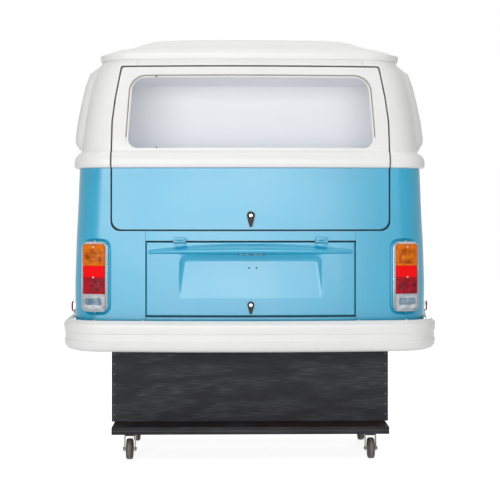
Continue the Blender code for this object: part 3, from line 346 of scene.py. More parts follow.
def drawn_in(shape, verts, width, half, low, high):
    """Moves vertices towards the middle of an opening, by a width at its sides, its head and its foot."""
    narrowed = (1 - width / half, 1, 1 - width / ((high - low) / 2))
    bmesh.ops.scale(shape, verts=verts, vec=narrowed, space=Matrix.Translation((0, 0, -(low + high) / 2)))


def thickened(shape, thick):
    """Turns a sheet into a slab that reaches along Y."""
    made = bmesh.ops.extrude_face_region(shape, geom=shape.faces[:])
    bmesh.ops.translate(shape, verts=verts_of(made), vec=(0, thick, 0))


def surface_of(*nodes):
    """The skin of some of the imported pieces, for trim to be laid on."""
    shape = bmesh.new()
    for node in nodes:
        shape.from_mesh(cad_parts[node].data)
    skin = BVHTree.FromBMesh(shape)
    shape.free()
    return skin


SEAL_BEHIND, SEAL_THICK, SEAL_WIDE, SEAL_STEP = 0.0004, 0.0025, 0.015, 0.045
# The seals' black rubber also serves as painted shade in the door gaps.
gap_shade_rubber = mottled("gap_shade_rubber", (0.018, 0.016, 0.015), 0.60, grain=300.0, depth=0.0003)
shell_wall = surface_of("rear_header", "quarter_upper_left", "quarter_upper_right", "quarter_lower_left",
                        "quarter_lower_right", "sill_strip", "apron_strip")


def gap_shade_seal(name, right, roundings):
    """A seal whose outer edge has these corners down its right side. Its black is partly painted shade for the gap.
    """
    shape = looped(right, roundings)
    for vert in shape.verts:
        hit = shell_wall.ray_cast(Vector((vert.co.x, 0.2, vert.co.z)), Vector((0, -1, 0)))
        vert.co.y = hit[0].y + SEAL_BEHIND
    low, high = min(up for x, up in right), max(up for x, up in right)
    rim = bmesh.ops.extrude_edge_only(shape, edges=shape.edges[:])
    drawn_in(shape, verts_of(rim), SEAL_WIDE, max(x for x, up in right), low, high)
    thickened(shape, SEAL_THICK)
    piece(name, shape, gap_shade_rubber, "shell")


gap_shade_seal("hatch_gap_shade_seal", ((0.681, 1.107), (0.681, 1.516), (0.6791, 1.644), (0.6655, 1.764), (0.6478, 1.868),
                         (0.639, 1.925)), (0.054, 0, 0, 0, 0, 0.020))
gap_shade_seal("lid_gap_shade_seal", ((0.516, 0.693), (0.516, 1.071)), (0.004, 0.004))

# Window rebate shadow: a grey-brown bead of painted shadow in the corner of the rebate, along the head and down both
# sides.
# It lies on the rebate's floor and hides its cut edge. There is no glass.
WINDOW_RIGHT, WINDOW_ROUND = ((0.609, 1.506), (0.588, 1.874)), (0.058, 0.078)
REBATE_SHADOW_WIDE, REBATE_SHADOW_THICK, REBATE_SHADOW_SUNK = 0.0050, 0.0014, 0.0004
REBATE_SHADOW_SET_IN, REBATE_SHADOW_START = 0.0012, 0.060


def tail_hit(skin, across, up):
    """The point of a skin that the eye meets here, and the way that it faces."""
    return skin.ray_cast(Vector((across, -2, up)), Vector((0, 1, 0)))


window_half, window_low, window_high = WINDOW_RIGHT[1][0], WINDOW_RIGHT[0][1], WINDOW_RIGHT[1][1]
hatch_skin = surface_of("hatch_upper")
rebate_shadow = looped(WINDOW_RIGHT, WINDOW_ROUND, 10)
foot = [edge for edge in rebate_shadow.edges if all(vert.co.z < window_low + REBATE_SHADOW_START for vert in edge.verts)]
bmesh.ops.delete(rebate_shadow, geom=foot, context="EDGES")
drawn_in(rebate_shadow, rebate_shadow.verts[:], REBATE_SHADOW_SET_IN, window_half, window_low, window_high)
inner = bmesh.ops.extrude_edge_only(rebate_shadow, edges=rebate_shadow.edges[:])
drawn_in(rebate_shadow, verts_of(inner), REBATE_SHADOW_WIDE, window_half, window_low, window_high)
for vert in rebate_shadow.verts:
    vert.co.y = tail_hit(hatch_skin, vert.co.x, vert.co.z)[0].y + REBATE_SHADOW_SUNK
thickened(rebate_shadow, -REBATE_SHADOW_THICK)
# The grey-brown bead is painted shadow along the rebate's step.
piece("window_rebate_shadow", rebate_shadow, mottled("window_rebate_shadow", (0.30, 0.265, 0.235), 0.55), "hatch")

# Lower lid: one blue moulding, pressed into a hood like an eyebrow over a bare recess for a number plate.
# Its face is a grid laid on the curve of the tail, raised and sunk to the pressing, with eased edges.
LID_HALF = 0.5015
LID_LOW, LID_HIGH = 0.706, 1.058
LID_THICK = 0.0338
LID_EASE = 0.0030
LID_ROWS = (0.0, 0.0004, 0.0012, 0.0022, 0.0036)
BOW_LOW, BOW_HIGH = 0.690, 1.095
RECESS_HALF = 0.3445
RECESS_LOW, RECESS_HIGH = 0.791, 0.998
RECESS_ROUND, RECESS_DEPTH, RECESS_WALL = 0.040, 0.021, 0.030
WALL_REACH, RECESS_BLEND, RECESS_LIP = 1.5, 0.007, 0.004
HOOD_HALF = 0.490
HOOD_LOW, HOOD_LIFT = 1.0005, 0.004
HOOD_BLUNT_FROM, HOOD_BLUNT = 0.982, 0.018
HOOD_TIP, HOOD_MIDDLE = 0.0150, 0.0500
HOOD_PROUD, HOOD_TIP_PROUD = 0.0245, 0.0065
HOOD_CREST = 0.36
BROW_POWER, ALONG_POWER = 1.9, 1.8
NOTCH_X, NOTCH_Z = -0.031, 1.0385
NOTCH_HALF, NOTCH_FLARE, NOTCH_DEPTH = 0.024, 0.45, 0.0022
NOTCH_DROP, NOTCH_SIDE_SOFT, NOTCH_FOOT_SOFT = 0.010, 0.004, 0.003
tail_strips = surface_of("sill_strip", "apron_strip")


def bowed(across, up):
    """The plain tail's depth here, between the strips under and over the lid."""
    low, high = [tail_hit(tail_strips, across, height)[0].y for height in (BOW_LOW, BOW_HIGH)]
    share = (up - BOW_LOW) / (BOW_HIGH - BOW_LOW)
    return low + (high - low) * share


def blended(first, second, soft):
    """The smaller of two depths, rounded where they meet."""
    share = max(0.0, min(1.0, 0.5 + (second - first) / soft / 2))
    return second + (first - second) * share - soft * share * (1 - share)


def recessed(across, up):
    """How far the plate recess is sunk here: a floor that slopes to nothing at its foot, inside rounded walls."""
    beyond_side = abs(across) - (RECESS_HALF - RECESS_ROUND)
    beyond_head = up - (RECESS_HIGH - RECESS_ROUND)
    beyond = math.hypot(max(beyond_side, 0), max(beyond_head, 0)) + min(max(beyond_side, beyond_head), 0)
    within = RECESS_ROUND - beyond
    if up < RECESS_LOW or within < 0:
        return 0.0
    wall = RECESS_DEPTH * min(within / RECESS_WALL, WALL_REACH)
    floor = RECESS_DEPTH * (up - RECESS_LOW) / (RECESS_HIGH - RECESS_LOW)
    return max(0.0, blended(wall, floor, RECESS_BLEND)) * min(1.0, within / RECESS_LIP)


def hooded(across, up):
    """How far the hood stands out here. Its tips are blunt, and its foot is straighter than its brow."""
    share = min(1.0, abs(across) / HOOD_HALF)
    tip = math.sqrt(max(0.0, 1 - max(0.0, (share - HOOD_BLUNT_FROM) / HOOD_BLUNT) ** 2))
    deep = HOOD_TIP + (HOOD_MIDDLE - HOOD_TIP) * (1 - share ** 2)
    low = HOOD_LOW + HOOD_LIFT * share ** 2 + deep * (1 - tip) / 2
    level = (up - low) / (deep * max(tip, 0.01))
    if share >= 1 or level <= 0 or level >= 1:
        return 0.0
    if level < HOOD_CREST:
        rise = math.sqrt(1 - ((HOOD_CREST - level) / HOOD_CREST) ** 2)
    else:
        rise = 1 - ((level - HOOD_CREST) / (1 - HOOD_CREST)) ** BROW_POWER
    proud = HOOD_TIP_PROUD + (HOOD_PROUD - HOOD_TIP_PROUD) * (1 - share ** ALONG_POWER)
    within = NOTCH_HALF - abs(across - NOTCH_X) + (up - NOTCH_Z) * NOTCH_FLARE
    side = max(0.0, min(1.0, within / NOTCH_SIDE_SOFT))
    foot = max(0.0, min(1.0, (up - NOTCH_Z + NOTCH_DROP) / NOTCH_FOOT_SOFT))
    return proud * rise * tip - NOTCH_DEPTH * side * foot * rise


LID_CELL = 0.0035
lid_face = bmesh.new()
lid_rise = (LID_HIGH - LID_LOW) / 2
columns, rows = round(2 * LID_HALF / LID_CELL), round(2 * lid_rise / LID_CELL)
cell_x, cell_z = 2 * LID_HALF / columns, 2 * lid_rise / rows
steps = len(LID_ROWS) - 1
bmesh.ops.create_grid(lid_face, x_segments=columns, y_segments=rows, size=1)
bmesh.ops.rotate(lid_face, verts=lid_face.verts, matrix=Matrix.Rotation(math.pi / 2, 3, "X"))
for vert in lid_face.verts:
    across, up = vert.co.x * LID_HALF, vert.co.z * lid_rise
    for half, cell, axis, value in ((LID_HALF, cell_x, 0, across), (lid_rise, cell_z, 2, up)):
        from_edge = round((half - abs(value)) / cell)
        if from_edge < steps:
            value = math.copysign(half - LID_ROWS[from_edge], value)
        else:
            value *= (half - LID_ROWS[-1]) / (half - steps * cell)
        vert.co[axis] = value
    across, up = vert.co.x, vert.co.z + LID_LOW + lid_rise
    edge = min(LID_HALF - abs(across), lid_rise - abs(vert.co.z))
    eased = LID_EASE - math.sqrt(max(0.0, LID_EASE ** 2 - max(0.0, LID_EASE - edge) ** 2))
    vert.co.z = up
    vert.co.y = bowed(across, up) + eased + recessed(across, up) - hooded(across, up)
for vert in verts_of(bmesh.ops.extrude_face_region(lid_face, geom=lid_face.faces[:])):
    vert.co.y = bowed(vert.co.x, vert.co.z) + LID_THICK
lid_piece = piece("lid_moulding", lid_face, blue_gelcoat, "lid", 50)
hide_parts("lid")


# Lid hinges: two painted strap hinges. The outer knuckles and the upper leaf are the shell's, and the middle
# knuckle and the lower leaf are the lid's. The leaves are pressed over the body's own blocks.
def merge(shape, part, place):
    """Sets a finished part in its place and adds it to a shape."""
    bmesh.ops.transform(part, matrix=place, verts=part.verts)
    made = bpy.data.meshes.new("part")
    part.to_mesh(made)
    part.free()
    shape.from_mesh(made)
    bpy.data.meshes.remove(made)


def block(shape, centre, size):
    """Adds a plain block."""
    bmesh.ops.create_cube(shape, size=1, matrix=Matrix.Translation(centre) @ Matrix.Diagonal((*size, 1)))


def bevelled(shape, edges, width, steps=2):
    """Rounds some edges of a shape."""
    bmesh.ops.bevel(shape, geom=edges, affect="EDGES", offset=width, segments=steps, profile=0.5, material=-1)


def ease(shape, width):
    """Rounds the sharp edges of a shape."""
    bmesh.ops.recalc_face_normals(shape, faces=shape.faces)
    sharp = [edge for edge in shape.edges if len(edge.link_faces) == 2 and edge.calc_face_angle() > SHARP]
    bevelled(shape, sharp, width)


SHARP = 0.8
HINGE_X, HINGE_Y, HINGE_Z = 0.3405, -0.260, 1.062
KNUCKLE, KNUCKLE_LONG = 0.0067, 0.0174
LEAF_WIDE, LEAF_NEAR, LEAF_FAR = 0.0575, -0.2640, -0.2400
for body, offsets, low, high in (("lid", (0,), -0.0200, -0.0090), ("shell", (-0.018, 0.018), 0.0080, 0.0188)):
    hinges = bmesh.new()
    for side in (-1, 1):
        for offset in offsets:
            knuckle = bmesh.new()
            bmesh.ops.create_cone(knuckle, cap_ends=True, segments=24, radius1=KNUCKLE, radius2=KNUCKLE,
                                  depth=KNUCKLE_LONG)
            merge(hinges, knuckle, Matrix.Translation((side * HINGE_X + offset, HINGE_Y, HINGE_Z)) @
                  Matrix.Rotation(math.pi / 2, 4, "Y"))
        leaf = bmesh.new()
        block(leaf, (0, 0, 0), (LEAF_WIDE, LEAF_FAR - LEAF_NEAR, high - low))
        ease(leaf, 0.0012)
        merge(hinges, leaf, Matrix.Translation((side * HINGE_X, (LEAF_NEAR + LEAF_FAR) / 2,
                                                HINGE_Z + (low + high) / 2)))
    piece(f"hinge_leaves_{body}", hinges, blue_gelcoat, body)

# Inside lining: back panel, ceiling, counter and deck.
# Thin board painted matt white with a roller, which the window and the open hatch show.
lining, lining_tree, lining_shader = new_material("white_lining_paint")
lining_place = object_place(lining_tree)
lining_tone = two_tone(lining_tree, noise(lining_tree, lining_place, 2.0), (0.76, 0.745, 0.765), (0.80, 0.78, 0.79))
lining_roller = bumped(lining_tree, noise(lining_tree, lining_place, 420), 0.0005, 0.3)
set_shader(lining_tree, lining_shader, lining_tone, 0.65, lining_roller)
for node in ("back_panel", "ceiling", "counter", "deck"):
    dress(node, lining)


# Door hinges: two zinc-plated steel arms inside the header carry the hatch, and the lid hangs on two
# knuckle hinges painted with the body, each with its steel pin showing at both ends.
def turned_to(place, outward):
    """The place of a part made standing on the XY plane, turned so that it stands out along a direction."""
    return Matrix.Translation(place) @ Vector(outward).to_track_quat("Z", "Y").to_matrix().to_4x4()


def top_of(shape):
    """The highest face."""
    return max(shape.faces, key=lambda face: face.calc_center_median().z)


def screw_head(shape, radius, height, place, sides=16):
    """Adds a domed head with a sunk socket, standing on its place."""
    head = bmesh.new()
    bmesh.ops.create_cone(head, cap_ends=True, cap_tris=False, segments=sides, radius1=radius,
                          radius2=radius * HEAD_TAPER, depth=height, matrix=Matrix.Translation((0, 0, height / 2)))
    bevelled(head, list(top_of(head).edges), min(radius, height) * HEAD_DOME)
    top = top_of(head)
    bmesh.ops.inset_individual(head, faces=[top], thickness=radius * SOCKET_RIM, depth=0)
    bmesh.ops.inset_individual(head, faces=[top], thickness=radius * SOCKET_SLOPE, depth=-height * SOCKET_DEEP)
    merge(shape, head, place)


HEAD_TAPER, HEAD_DOME = 0.94, 0.30
SOCKET_RIM, SOCKET_SLOPE, SOCKET_DEEP = 0.28, 0.06, 0.45
PIN_REACH = 0.0272
zinc = mottled("zinc_plate", (0.60, 0.60, 0.59), 0.34, metallic=1.0)
for side in ("left", "right"):
    dress(f"hatch_hinge_arm_{side}", zinc, 0.0008)
hinge_pins = bmesh.new()
for side in (-1, 1):
    for outward in (-1, 1):
        place = (side * HINGE_X + outward * PIN_REACH, HINGE_Y, HINGE_Z)
        screw_head(hinge_pins, 0.0034, 0.0022, turned_to(place, (outward, 0, 0)), 12)
piece("lid_hinge_pins", hinge_pins, zinc, "shell")


# Back panel screws: domed stainless screws hold the closing panel to the shell's front edge.
# They stand in two columns and two rows, set in from the panel's edge.
def seated(hit, sunk):
    """The place of a part that stands where a ray meets a skin, sunk in it a little."""
    return turned_to(hit[0] - hit[1] * sunk, hit[1])


SCREW_SET_IN, SCREW_PITCH = 0.060, 0.20
panel_low, panel_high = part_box("back_panel")
panel_skin = surface_of("back_panel")
panel_half = panel_high[0] - SCREW_SET_IN
foot_row, head_row = panel_low[2] + SCREW_SET_IN, panel_high[2] - SCREW_SET_IN
screw_spots = [(share, foot_row) for share in (0.2, 0.6, 1.0)] + [(share, head_row) for share in (0.2, 0.6)]
screw_spots += [(1.0, foot_row + step * SCREW_PITCH) for step in (1, 2, 3)]
panel_screws = bmesh.new()
for side in (-1, 1):
    for share, up in screw_spots:
        hit = panel_skin.ray_cast(Vector((side * panel_half * share, 2, up)), Vector((0, -1, 0)))
        screw_head(panel_screws, 0.0085, 0.0022, seated(hit, 0.0003), 20)
stainless = mottled("stainless_screw", (0.52, 0.53, 0.54), 0.32, metallic=1.0)
piece("back_panel_screws", panel_screws, stainless, "shell")

# Window pegs: two short black pegs for a blind, one in the head and one in the foot of the opening.
# They are screwed into the cut edge of the hatch.
PEG_X, PEG_Y = -0.455, -0.228
pegs = bmesh.new()
for up, way in ((1.8600, -1), (1.5128, 1)):
    screw_head(pegs, 0.0034, 0.0065, turned_to((PEG_X, PEG_Y, up), (0, 0, way)), 14)
piece("window_pegs", pegs, mottled("peg_black", (0.014, 0.015, 0.012), 0.5), "hatch")


# Paddle latches: a tear-drop of black enamelled steel on each door, its tail worn brown by hands.
# A silver key barrel with a slot stands out of the head, and a black bar in the slot is painted shade.
def axis_of(tree, vector, axis):
    """One of the three numbers of a vector."""
    return add(tree, "ShaderNodeSeparateXYZ", {0: vector}).outputs[axis]


latch_enamel, latch_tree, latch_shader = new_material("worn_black_enamel")
latch_place = object_place(latch_tree)
latch_across = maths(latch_tree, "ABSOLUTE", axis_of(latch_tree, latch_place, "X"))
latch_worn = maths(latch_tree, "MULTIPLY", mapped(latch_tree, latch_across, 0.007, 0.002),
                   noise(latch_tree, latch_place, 90))
latch_tone = two_tone(latch_tree, latch_worn, (0.005, 0.005, 0.006), (0.028, 0.014, 0.010))
set_shader(latch_tree, latch_shader, latch_tone, 0.42, specular=0.22)
chrome = mottled("polished_chrome", (0.80, 0.81, 0.83), 0.10, metallic=1.0)
# This black stands in as painted shade in the key slots and under the hood.
slot_shade_black = mottled("slot_shade_black", (0.010, 0.011, 0.014), 0.50)
BARREL_FACE, BARREL_RADIUS = -0.2701, 0.0080
for door, height in (("hatch", 1.1875), ("lid", 0.7575)):
    dress(f"{door}_latch", latch_enamel, 0.0016)
    barrel = bmesh.new()
    screw_head(barrel, BARREL_RADIUS, 0.0022, turned_to((0, BARREL_FACE, height), (0, -1, 0)), 28)
    piece(f"{door}_latch_barrel", barrel, chrome, door)
    # The black bar in the key slot is painted shade.
    keyway = bmesh.new()
    block(keyway, (0, BARREL_FACE - 0.0012, height), (0.0016, 0.0010, 0.0070))
    bevelled(keyway, keyway.edges[:], 0.0003, 1)
    piece(f"{door}_latch_keyway", keyway, slot_shade_black, door)

# Plate light and plate fixings: a slim black light under the hood, and two rubber plugs in the recess.
# The recess is bare, so the plugs only fill its two screw holes. The light's black is partly painted shade under the
# hood's foot, and the plugs' dark navy is painted shade inside the holes.
tail_shape = bmesh.new()
tail_shape.from_mesh(lid_piece.data)
tail_skin = BVHTree.FromBMesh(tail_shape)
tail_shape.free()
LIGHT_X, LIGHT_Z, LIGHT_WIDE = 0.002, 1.0005, 0.132
light_face = tail_hit(tail_skin, 0, LIGHT_Z)[0].y
plate_light = bmesh.new()
block(plate_light, (LIGHT_X, light_face + 0.004, LIGHT_Z), (LIGHT_WIDE, 0.014, 0.0060))
bevelled(plate_light, plate_light.edges[:], 0.002)
# The light's black is partly painted shade under the hood's foot.
piece("plate_light", plate_light, slot_shade_black, "lid")
light_lens = bmesh.new()
for across in (-0.050, -0.020, 0.020, 0.046):
    bmesh.ops.create_icosphere(light_lens, subdivisions=2, radius=1, matrix=Matrix.Translation(
        (LIGHT_X + across, light_face - 0.002, LIGHT_Z)) @ Matrix.Diagonal((0.009, 0.0025, 0.0018, 1)))
lens_glass = mottled("lens_glass", (0.45, 0.50, 0.55), 0.12, coat=0.8)
piece("plate_light_lens", light_lens, lens_glass, "lid")
PLUG_Z = 0.9345
plugs = bmesh.new()
for across in (-0.0088, 0.0278):
    screw_head(plugs, 0.0044, 0.0018, seated(tail_hit(tail_skin, across, PLUG_Z), 0.0004))
# The plugs' dark navy is painted shade inside the screw holes.
piece("plate_plugs", plugs, mottled("plug_rubber_hole_shade", (0.004, 0.010, 0.028), 0.55), "lid")


# Tail lamps: one clear moulding screwed over a chromed housing, with amber and red lenses set in it.
# Each lens has a raised pane of crinkled prisms, and the clear lens's grey-blue pane is a painted reflection of the
# chrome reflector behind it.
# Each lamp is made flat and then turned on to its corner.
def lamp_seat(side):
    """The place of a lamp that was made flat, with its front towards the eye."""
    return Matrix.Translation((side * LAMP_X, LAMP_Y, 0)) @ Matrix.Rotation(side * LAMP_TURN, 4, "Z")


def bead(shape, half, low, high, rounding, width, near, thick):
    """Adds a rounded frame that stands from a depth towards the eye."""
    ring = outlined(((half, low), (half, high)), (rounding, rounding), 7)
    bmesh.ops.inset_individual(ring, faces=ring.faces[:], thickness=width, use_even_offset=True)
    inner = max(ring.faces, key=lambda face: len(face.verts))
    bmesh.ops.delete(ring, geom=[inner], context="FACES_ONLY")
    thickened(ring, -thick)
    bmesh.ops.translate(ring, verts=ring.verts, vec=(0, near, 0))
    ease(ring, min(width, thick) * 0.35)
    merge(shape, ring, Matrix.Identity(4))


def prism_lens(name, dark, light, prism, crinkle, split=None):
    """A coloured lens cut with small prisms. Where a split is given, it is bright above that height."""
    material, tree, shader = new_material(name)
    place = object_place(tree)
    cells = add(tree, "ShaderNodeTexVoronoi", {"Vector": place})
    cells.inputs["Scale"].default_value = prism
    factor = mapped(tree, noise(tree, place, 38), 0.35, 0.68)
    if split:
        above = mapped(tree, axis_of(tree, place, "Z"), split - 0.001, split + 0.001)
        factor = maths(tree, "MAXIMUM", maths(tree, "MULTIPLY", factor, 0.45), above)
    facets = bumped(tree, cells.outputs["Distance"], 0.0015, crinkle)
    set_shader(tree, shader, two_tone(tree, factor, dark, light), 0.14, facets, 0.12)
    return material


LAMP_X, LAMP_Y, LAMP_TURN = 0.7526, -0.2148, math.radians(14.5)
RED_SPLIT = 0.8905
amber_lens = prism_lens("amber_lens", (0.66, 0.125, 0.002), (0.80, 0.19, 0.004), 300, 0.1)
amber_pane = prism_lens("amber_pane", (0.33, 0.050, 0.002), (0.74, 0.185, 0.003), 210, 0.6)
red_lens = prism_lens("red_lens", (0.30, 0.006, 0.016), (0.90, 0.001, 0.004), 300, 0.1, RED_SPLIT)
red_pane = prism_lens("red_pane", (0.16, 0.003, 0.010), (0.42, 0.008, 0.022), 210, 0.6)
clear_lens = prism_lens("clear_lens", (0.42, 0.45, 0.49), (0.74, 0.76, 0.79), 170, 0.8)
# The clear pane's grey-blue is a painted reflection: it stands in for the chrome reflector inside the lamp and what
# that mirrors.
reflector_reflection_pane = prism_lens("reflector_reflection_pane", (0.12, 0.20, 0.27), (0.32, 0.42, 0.50), 210, 0.5)
clear_rim = mottled("clear_rim", (0.40, 0.44, 0.48), 0.16, coat=0.3)
lamp_screw = mottled("lamp_screw", (0.42, 0.43, 0.43), 0.42, metallic=1.0)
LENS_FACE, PANE_THICK = -0.020, 0.0022
PANES = (("amber", amber_pane, 0.0425, 0.955, 1.026, 0.006), ("red", red_pane, 0.0425, 0.8165, 0.8810, 0.006),
         ("clear", reflector_reflection_pane, 0.0420, 0.7560, 0.7900, 0.008))
for side, name in ((-1, "left"), (1, "right")):
    seat = lamp_seat(side)
    dress(f"lamp_housing_{name}", chrome, 0.0015)
    dress(f"lens_amber_{name}", amber_lens, 0.001)
    dress(f"lens_red_{name}", red_lens, 0.001)
    dress(f"lens_clear_{name}", clear_lens, 0.001)
    rim = bmesh.new()
    bead(rim, 0.0655, 0.7225, 1.0605, 0.0295, 0.0034, -0.0041, 0.0050)
    bead(rim, 0.0600, 0.7280, 1.0550, 0.0240, 0.0030, -0.0041, 0.0075)
    for up, low in ((1, 1.0600), (-1, 0.7230)):
        bmesh.ops.create_cone(rim, cap_ends=True, segments=4, radius1=0.0085, radius2=0.001, depth=0.010,
                              matrix=Matrix.Translation((0, 0.002, low + up * 0.004)) @
                              Matrix.Diagonal((1, 0.5, up, 1)))
    bmesh.ops.transform(rim, matrix=seat, verts=rim.verts)
    piece(f"lamp_rim_{name}", rim, clear_rim, "shell")
    for colour, material, half, low, high, rounding in PANES:
        pane = outlined(((half, low), (half, high)), (rounding, rounding), 4)
        thickened(pane, -PANE_THICK)
        ease(pane, 0.0008)
        bmesh.ops.transform(pane, matrix=seat @ Matrix.Translation((0, LENS_FACE + 0.0003, 0)), verts=pane.verts)
        piece(f"lamp_pane_{colour}_{name}", pane, material, "shell")
    bars = bmesh.new()
    bead(bars, 0.0470, 0.7430, 0.8060, 0.0160, 0.0016, LENS_FACE + 0.0002, 0.0022)
    bead(bars, 0.0440, 0.7965, 0.8045, 0.0012, 0.0016, LENS_FACE + 0.0002, 0.0030)
    bmesh.ops.transform(bars, matrix=seat, verts=bars.verts)
    piece(f"lamp_bars_{name}", bars, clear_rim, "shell")
    screws = bmesh.new()
    for up in (1.0350, RED_SPLIT - 0.001, 0.7480):
        screw_head(screws, 0.0050, 0.0030, seat @ turned_to((0, LENS_FACE + 0.0002, up), (0, -1, 0)))
    piece(f"lamp_screws_{name}", screws, lamp_screw, "shell")


# Side markers: a red dome in a chromed cup, fixed to each flank just forward of the tail lamps.
# The cup has a rolled lip, and the dome stands a finger's width out of it.
def marker_block(side, out, size, rounding):
    """A block on a flank, its middle this far out, with the four edges that stand out from the flank rounded."""
    shape = bmesh.new()
    block(shape, (side * (MARKER_X + out), MARKER_Y, MARKER_Z), size)
    outward = [edge for edge in shape.edges if abs(edge.verts[0].co.x - edge.verts[1].co.x) > 0.01]
    bevelled(shape, outward, rounding, 6)
    return shape


MARKER_X, MARKER_Y, MARKER_Z = 0.8663, 0.046, 0.730
marker_red = prism_lens("marker_red", (0.20, 0.003, 0.006), (0.40, 0.006, 0.010), 220, 0.4)
for side, name in ((-1, "left"), (1, "right")):
    cup = marker_block(side, 0.0095, (0.019, 0.150, 0.064), 0.022)
    mouth = max(cup.faces, key=lambda face: abs(face.calc_center_median().x) + face.calc_area())
    bmesh.ops.inset_individual(cup, faces=[mouth], thickness=0.004, depth=0)
    bmesh.ops.inset_individual(cup, faces=[mouth], thickness=0.001, depth=-0.006)
    ease(cup, 0.0012)
    cup_piece = piece(f"side_marker_cup_{name}", cup, chrome, "shell")
    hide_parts(f"side_marker_{name}")
    dome = marker_block(side, 0.0205, (0.017, 0.139, 0.053), 0.018)
    crown = max(dome.faces, key=lambda face: side * face.calc_center_median().x + face.calc_area())
    bevelled(dome, list(crown.edges), 0.008, 4)
    piece(f"side_marker_dome_{name}", dome, marker_red, "shell")

# Bumper: a pressed steel channel in white enamel on two flat black brackets, with a stay at each end.
# Coach bolts through its top flange hold it, and their heads have begun to rust through the paint.
bumper_white = gelcoat("bumper_enamel", (0.800, 0.796, 0.782), (0.775, 0.770, 0.755), 0.15, 0.35)
black_metal = mottled("black_enamel", (0.012, 0.012, 0.013), 0.34, coat=0.3)
rusting, rust_tree, rust_shader = new_material("rusting_bolt")
rust_bloom = noise(rust_tree, object_place(rust_tree), 160)
set_shader(rust_tree, rust_shader, two_tone(rust_tree, rust_bloom, (0.72, 0.70, 0.68), (0.42, 0.20, 0.13)), 0.55)
dress("bumper", bumper_white)
for side in ("left", "right"):
    dress(f"bumper_bracket_{side}", black_metal, 0.0010)
bumper_skin = surface_of("bumper")
FLANGE_Z, BOLT_SET_IN = 0.6835, 0.010
bolts = bmesh.new()
for across in (-0.745, -0.515, 0.515, 0.745):
    lip = bumper_skin.ray_cast(Vector((across, 0.0, FLANGE_Z)), Vector((0, -1, 0)))[0]
    top = bumper_skin.ray_cast(Vector((across, lip.y - BOLT_SET_IN, 1.0)), Vector((0, 0, -1)))
    screw_head(bolts, 0.0075, 0.0045, seated(top, 0.0004))
piece("bumper_bolts", bolts, rusting, "shell")
stays = bmesh.new()
for side in (-1, 1):
    block(stays, (side * 0.8775, 0.004, 0.6900), (0.0220, 0.030, 0.0130))
ease(stays, 0.0020)
piece("bumper_end_stays", stays, bumper_white, "shell")

# Box and base board: birch plywood stained black, screwed at the corners, with a bold wavy grain.
# The base board is two sheets thick. Its edge shows the glue line, and its upward faces are painted a mottled brown
# as painted light from above.
ply_grain = bpy.data.node_groups.new("ply_grain", "ShaderNodeTree")
ply_grain.interface.new_socket("Grain", in_out="OUTPUT", socket_type="NodeSocketFloat")
grain_place = object_place(ply_grain)
grain_stretch = add(ply_grain, "ShaderNodeMapping", {0: grain_place}, in_3=(1.0, 1.0, 4.0))
grain_rings = maths(ply_grain, "MULTIPLY", noise(ply_grain, grain_stretch.outputs[0], 1.6, 3), 34.0)
grain_band = mapped(ply_grain, maths(ply_grain, "SINE", grain_rings), -1.0, 1.0, 0.25)
pore_stretch = add(ply_grain, "ShaderNodeMapping", {0: grain_place}, in_3=(6.0, 6.0, 160.0))
pore_sharp = mapped(ply_grain, noise(ply_grain, pore_stretch.outputs[0], 2.0, 5), 0.44, 0.66, 0.18)
add(ply_grain, "NodeGroupOutput", {"Grain": maths(ply_grain, "MULTIPLY", grain_band, pore_sharp)})


def stained_ply(name, dark, light):
    """Black stain over plywood grain. It also gives its tree, shader and tone, to which the base board adds its glue
    line and the painted light on its top.
    """
    material, tree, shader = new_material(name)
    grain = add(tree, "ShaderNodeGroup", node_tree=ply_grain).outputs["Grain"]
    tone = two_tone(tree, grain, dark, light)
    set_shader(tree, shader, tone, 0.62, bumped(tree, grain, 0.001, 0.4), 0.2)
    return material, tree, shader, tone


black_ply = stained_ply("black_stained_plywood", (0.010, 0.010, 0.0115), (0.062, 0.063, 0.074))[0]
for node in ("box_tail", "box_front", "box_left", "box_right"):
    dress(node, black_ply, 0.0012)
box_low, box_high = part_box("box_tail")
BOX_SCREW_SET_IN, BOX_SCREW_START, BOX_SCREW_PITCH = 0.013, 0.035, 0.050
box_screws = bmesh.new()
for side in (-1, 1):
    for step in range(7):
        place = (side * (box_high[0] - BOX_SCREW_SET_IN), box_low[1] + 0.0002,
                 box_low[2] + BOX_SCREW_START + step * BOX_SCREW_PITCH)
        screw_head(box_screws, 0.0042, 0.0012, turned_to(place, (0, -1, 0)), 14)
piece("box_screws", box_screws, mottled("blackened_screw", (0.10, 0.11, 0.125), 0.45), "shell")
GLUE_LINE_Z = 0.146
lit_top_board, lit_top_tree, lit_top_shader, board_grain_tone = stained_ply("lit_top_board", (0.009, 0.009, 0.010),
                                                            (0.040, 0.040, 0.046))
board_place = object_place(lit_top_tree)
glue_offset = maths(lit_top_tree, "SUBTRACT", axis_of(lit_top_tree, board_place, "Z"), GLUE_LINE_Z)
glue_line = mapped(lit_top_tree, maths(lit_top_tree, "ABSOLUTE", glue_offset), 0.0030, 0.0010, 0.0, 0.5)
glued = two_tone(lit_top_tree, glue_line, board_grain_tone, (0.085, 0.080, 0.078))
# Painted light: the faces that turn up are painted a mottled brown, as the light from above makes them look.
top_facing = add(lit_top_tree, "ShaderNodeNewGeometry").outputs["Normal"]
top_light_spread = mapped(lit_top_tree, noise(lit_top_tree, board_place, 4.0), 0.40, 0.62, 0.15)
painted_top_light = maths(lit_top_tree, "MULTIPLY", axis_of(lit_top_tree, top_facing, "Z"), top_light_spread, clamped=True)
top_light_brown = two_tone(lit_top_tree, painted_top_light, glued, (0.020, 0.014, 0.010))
lit_top_tree.links.new(top_light_brown, lit_top_shader.inputs["Base Color"])
dress("base_board", lit_top_board, 0.0015)

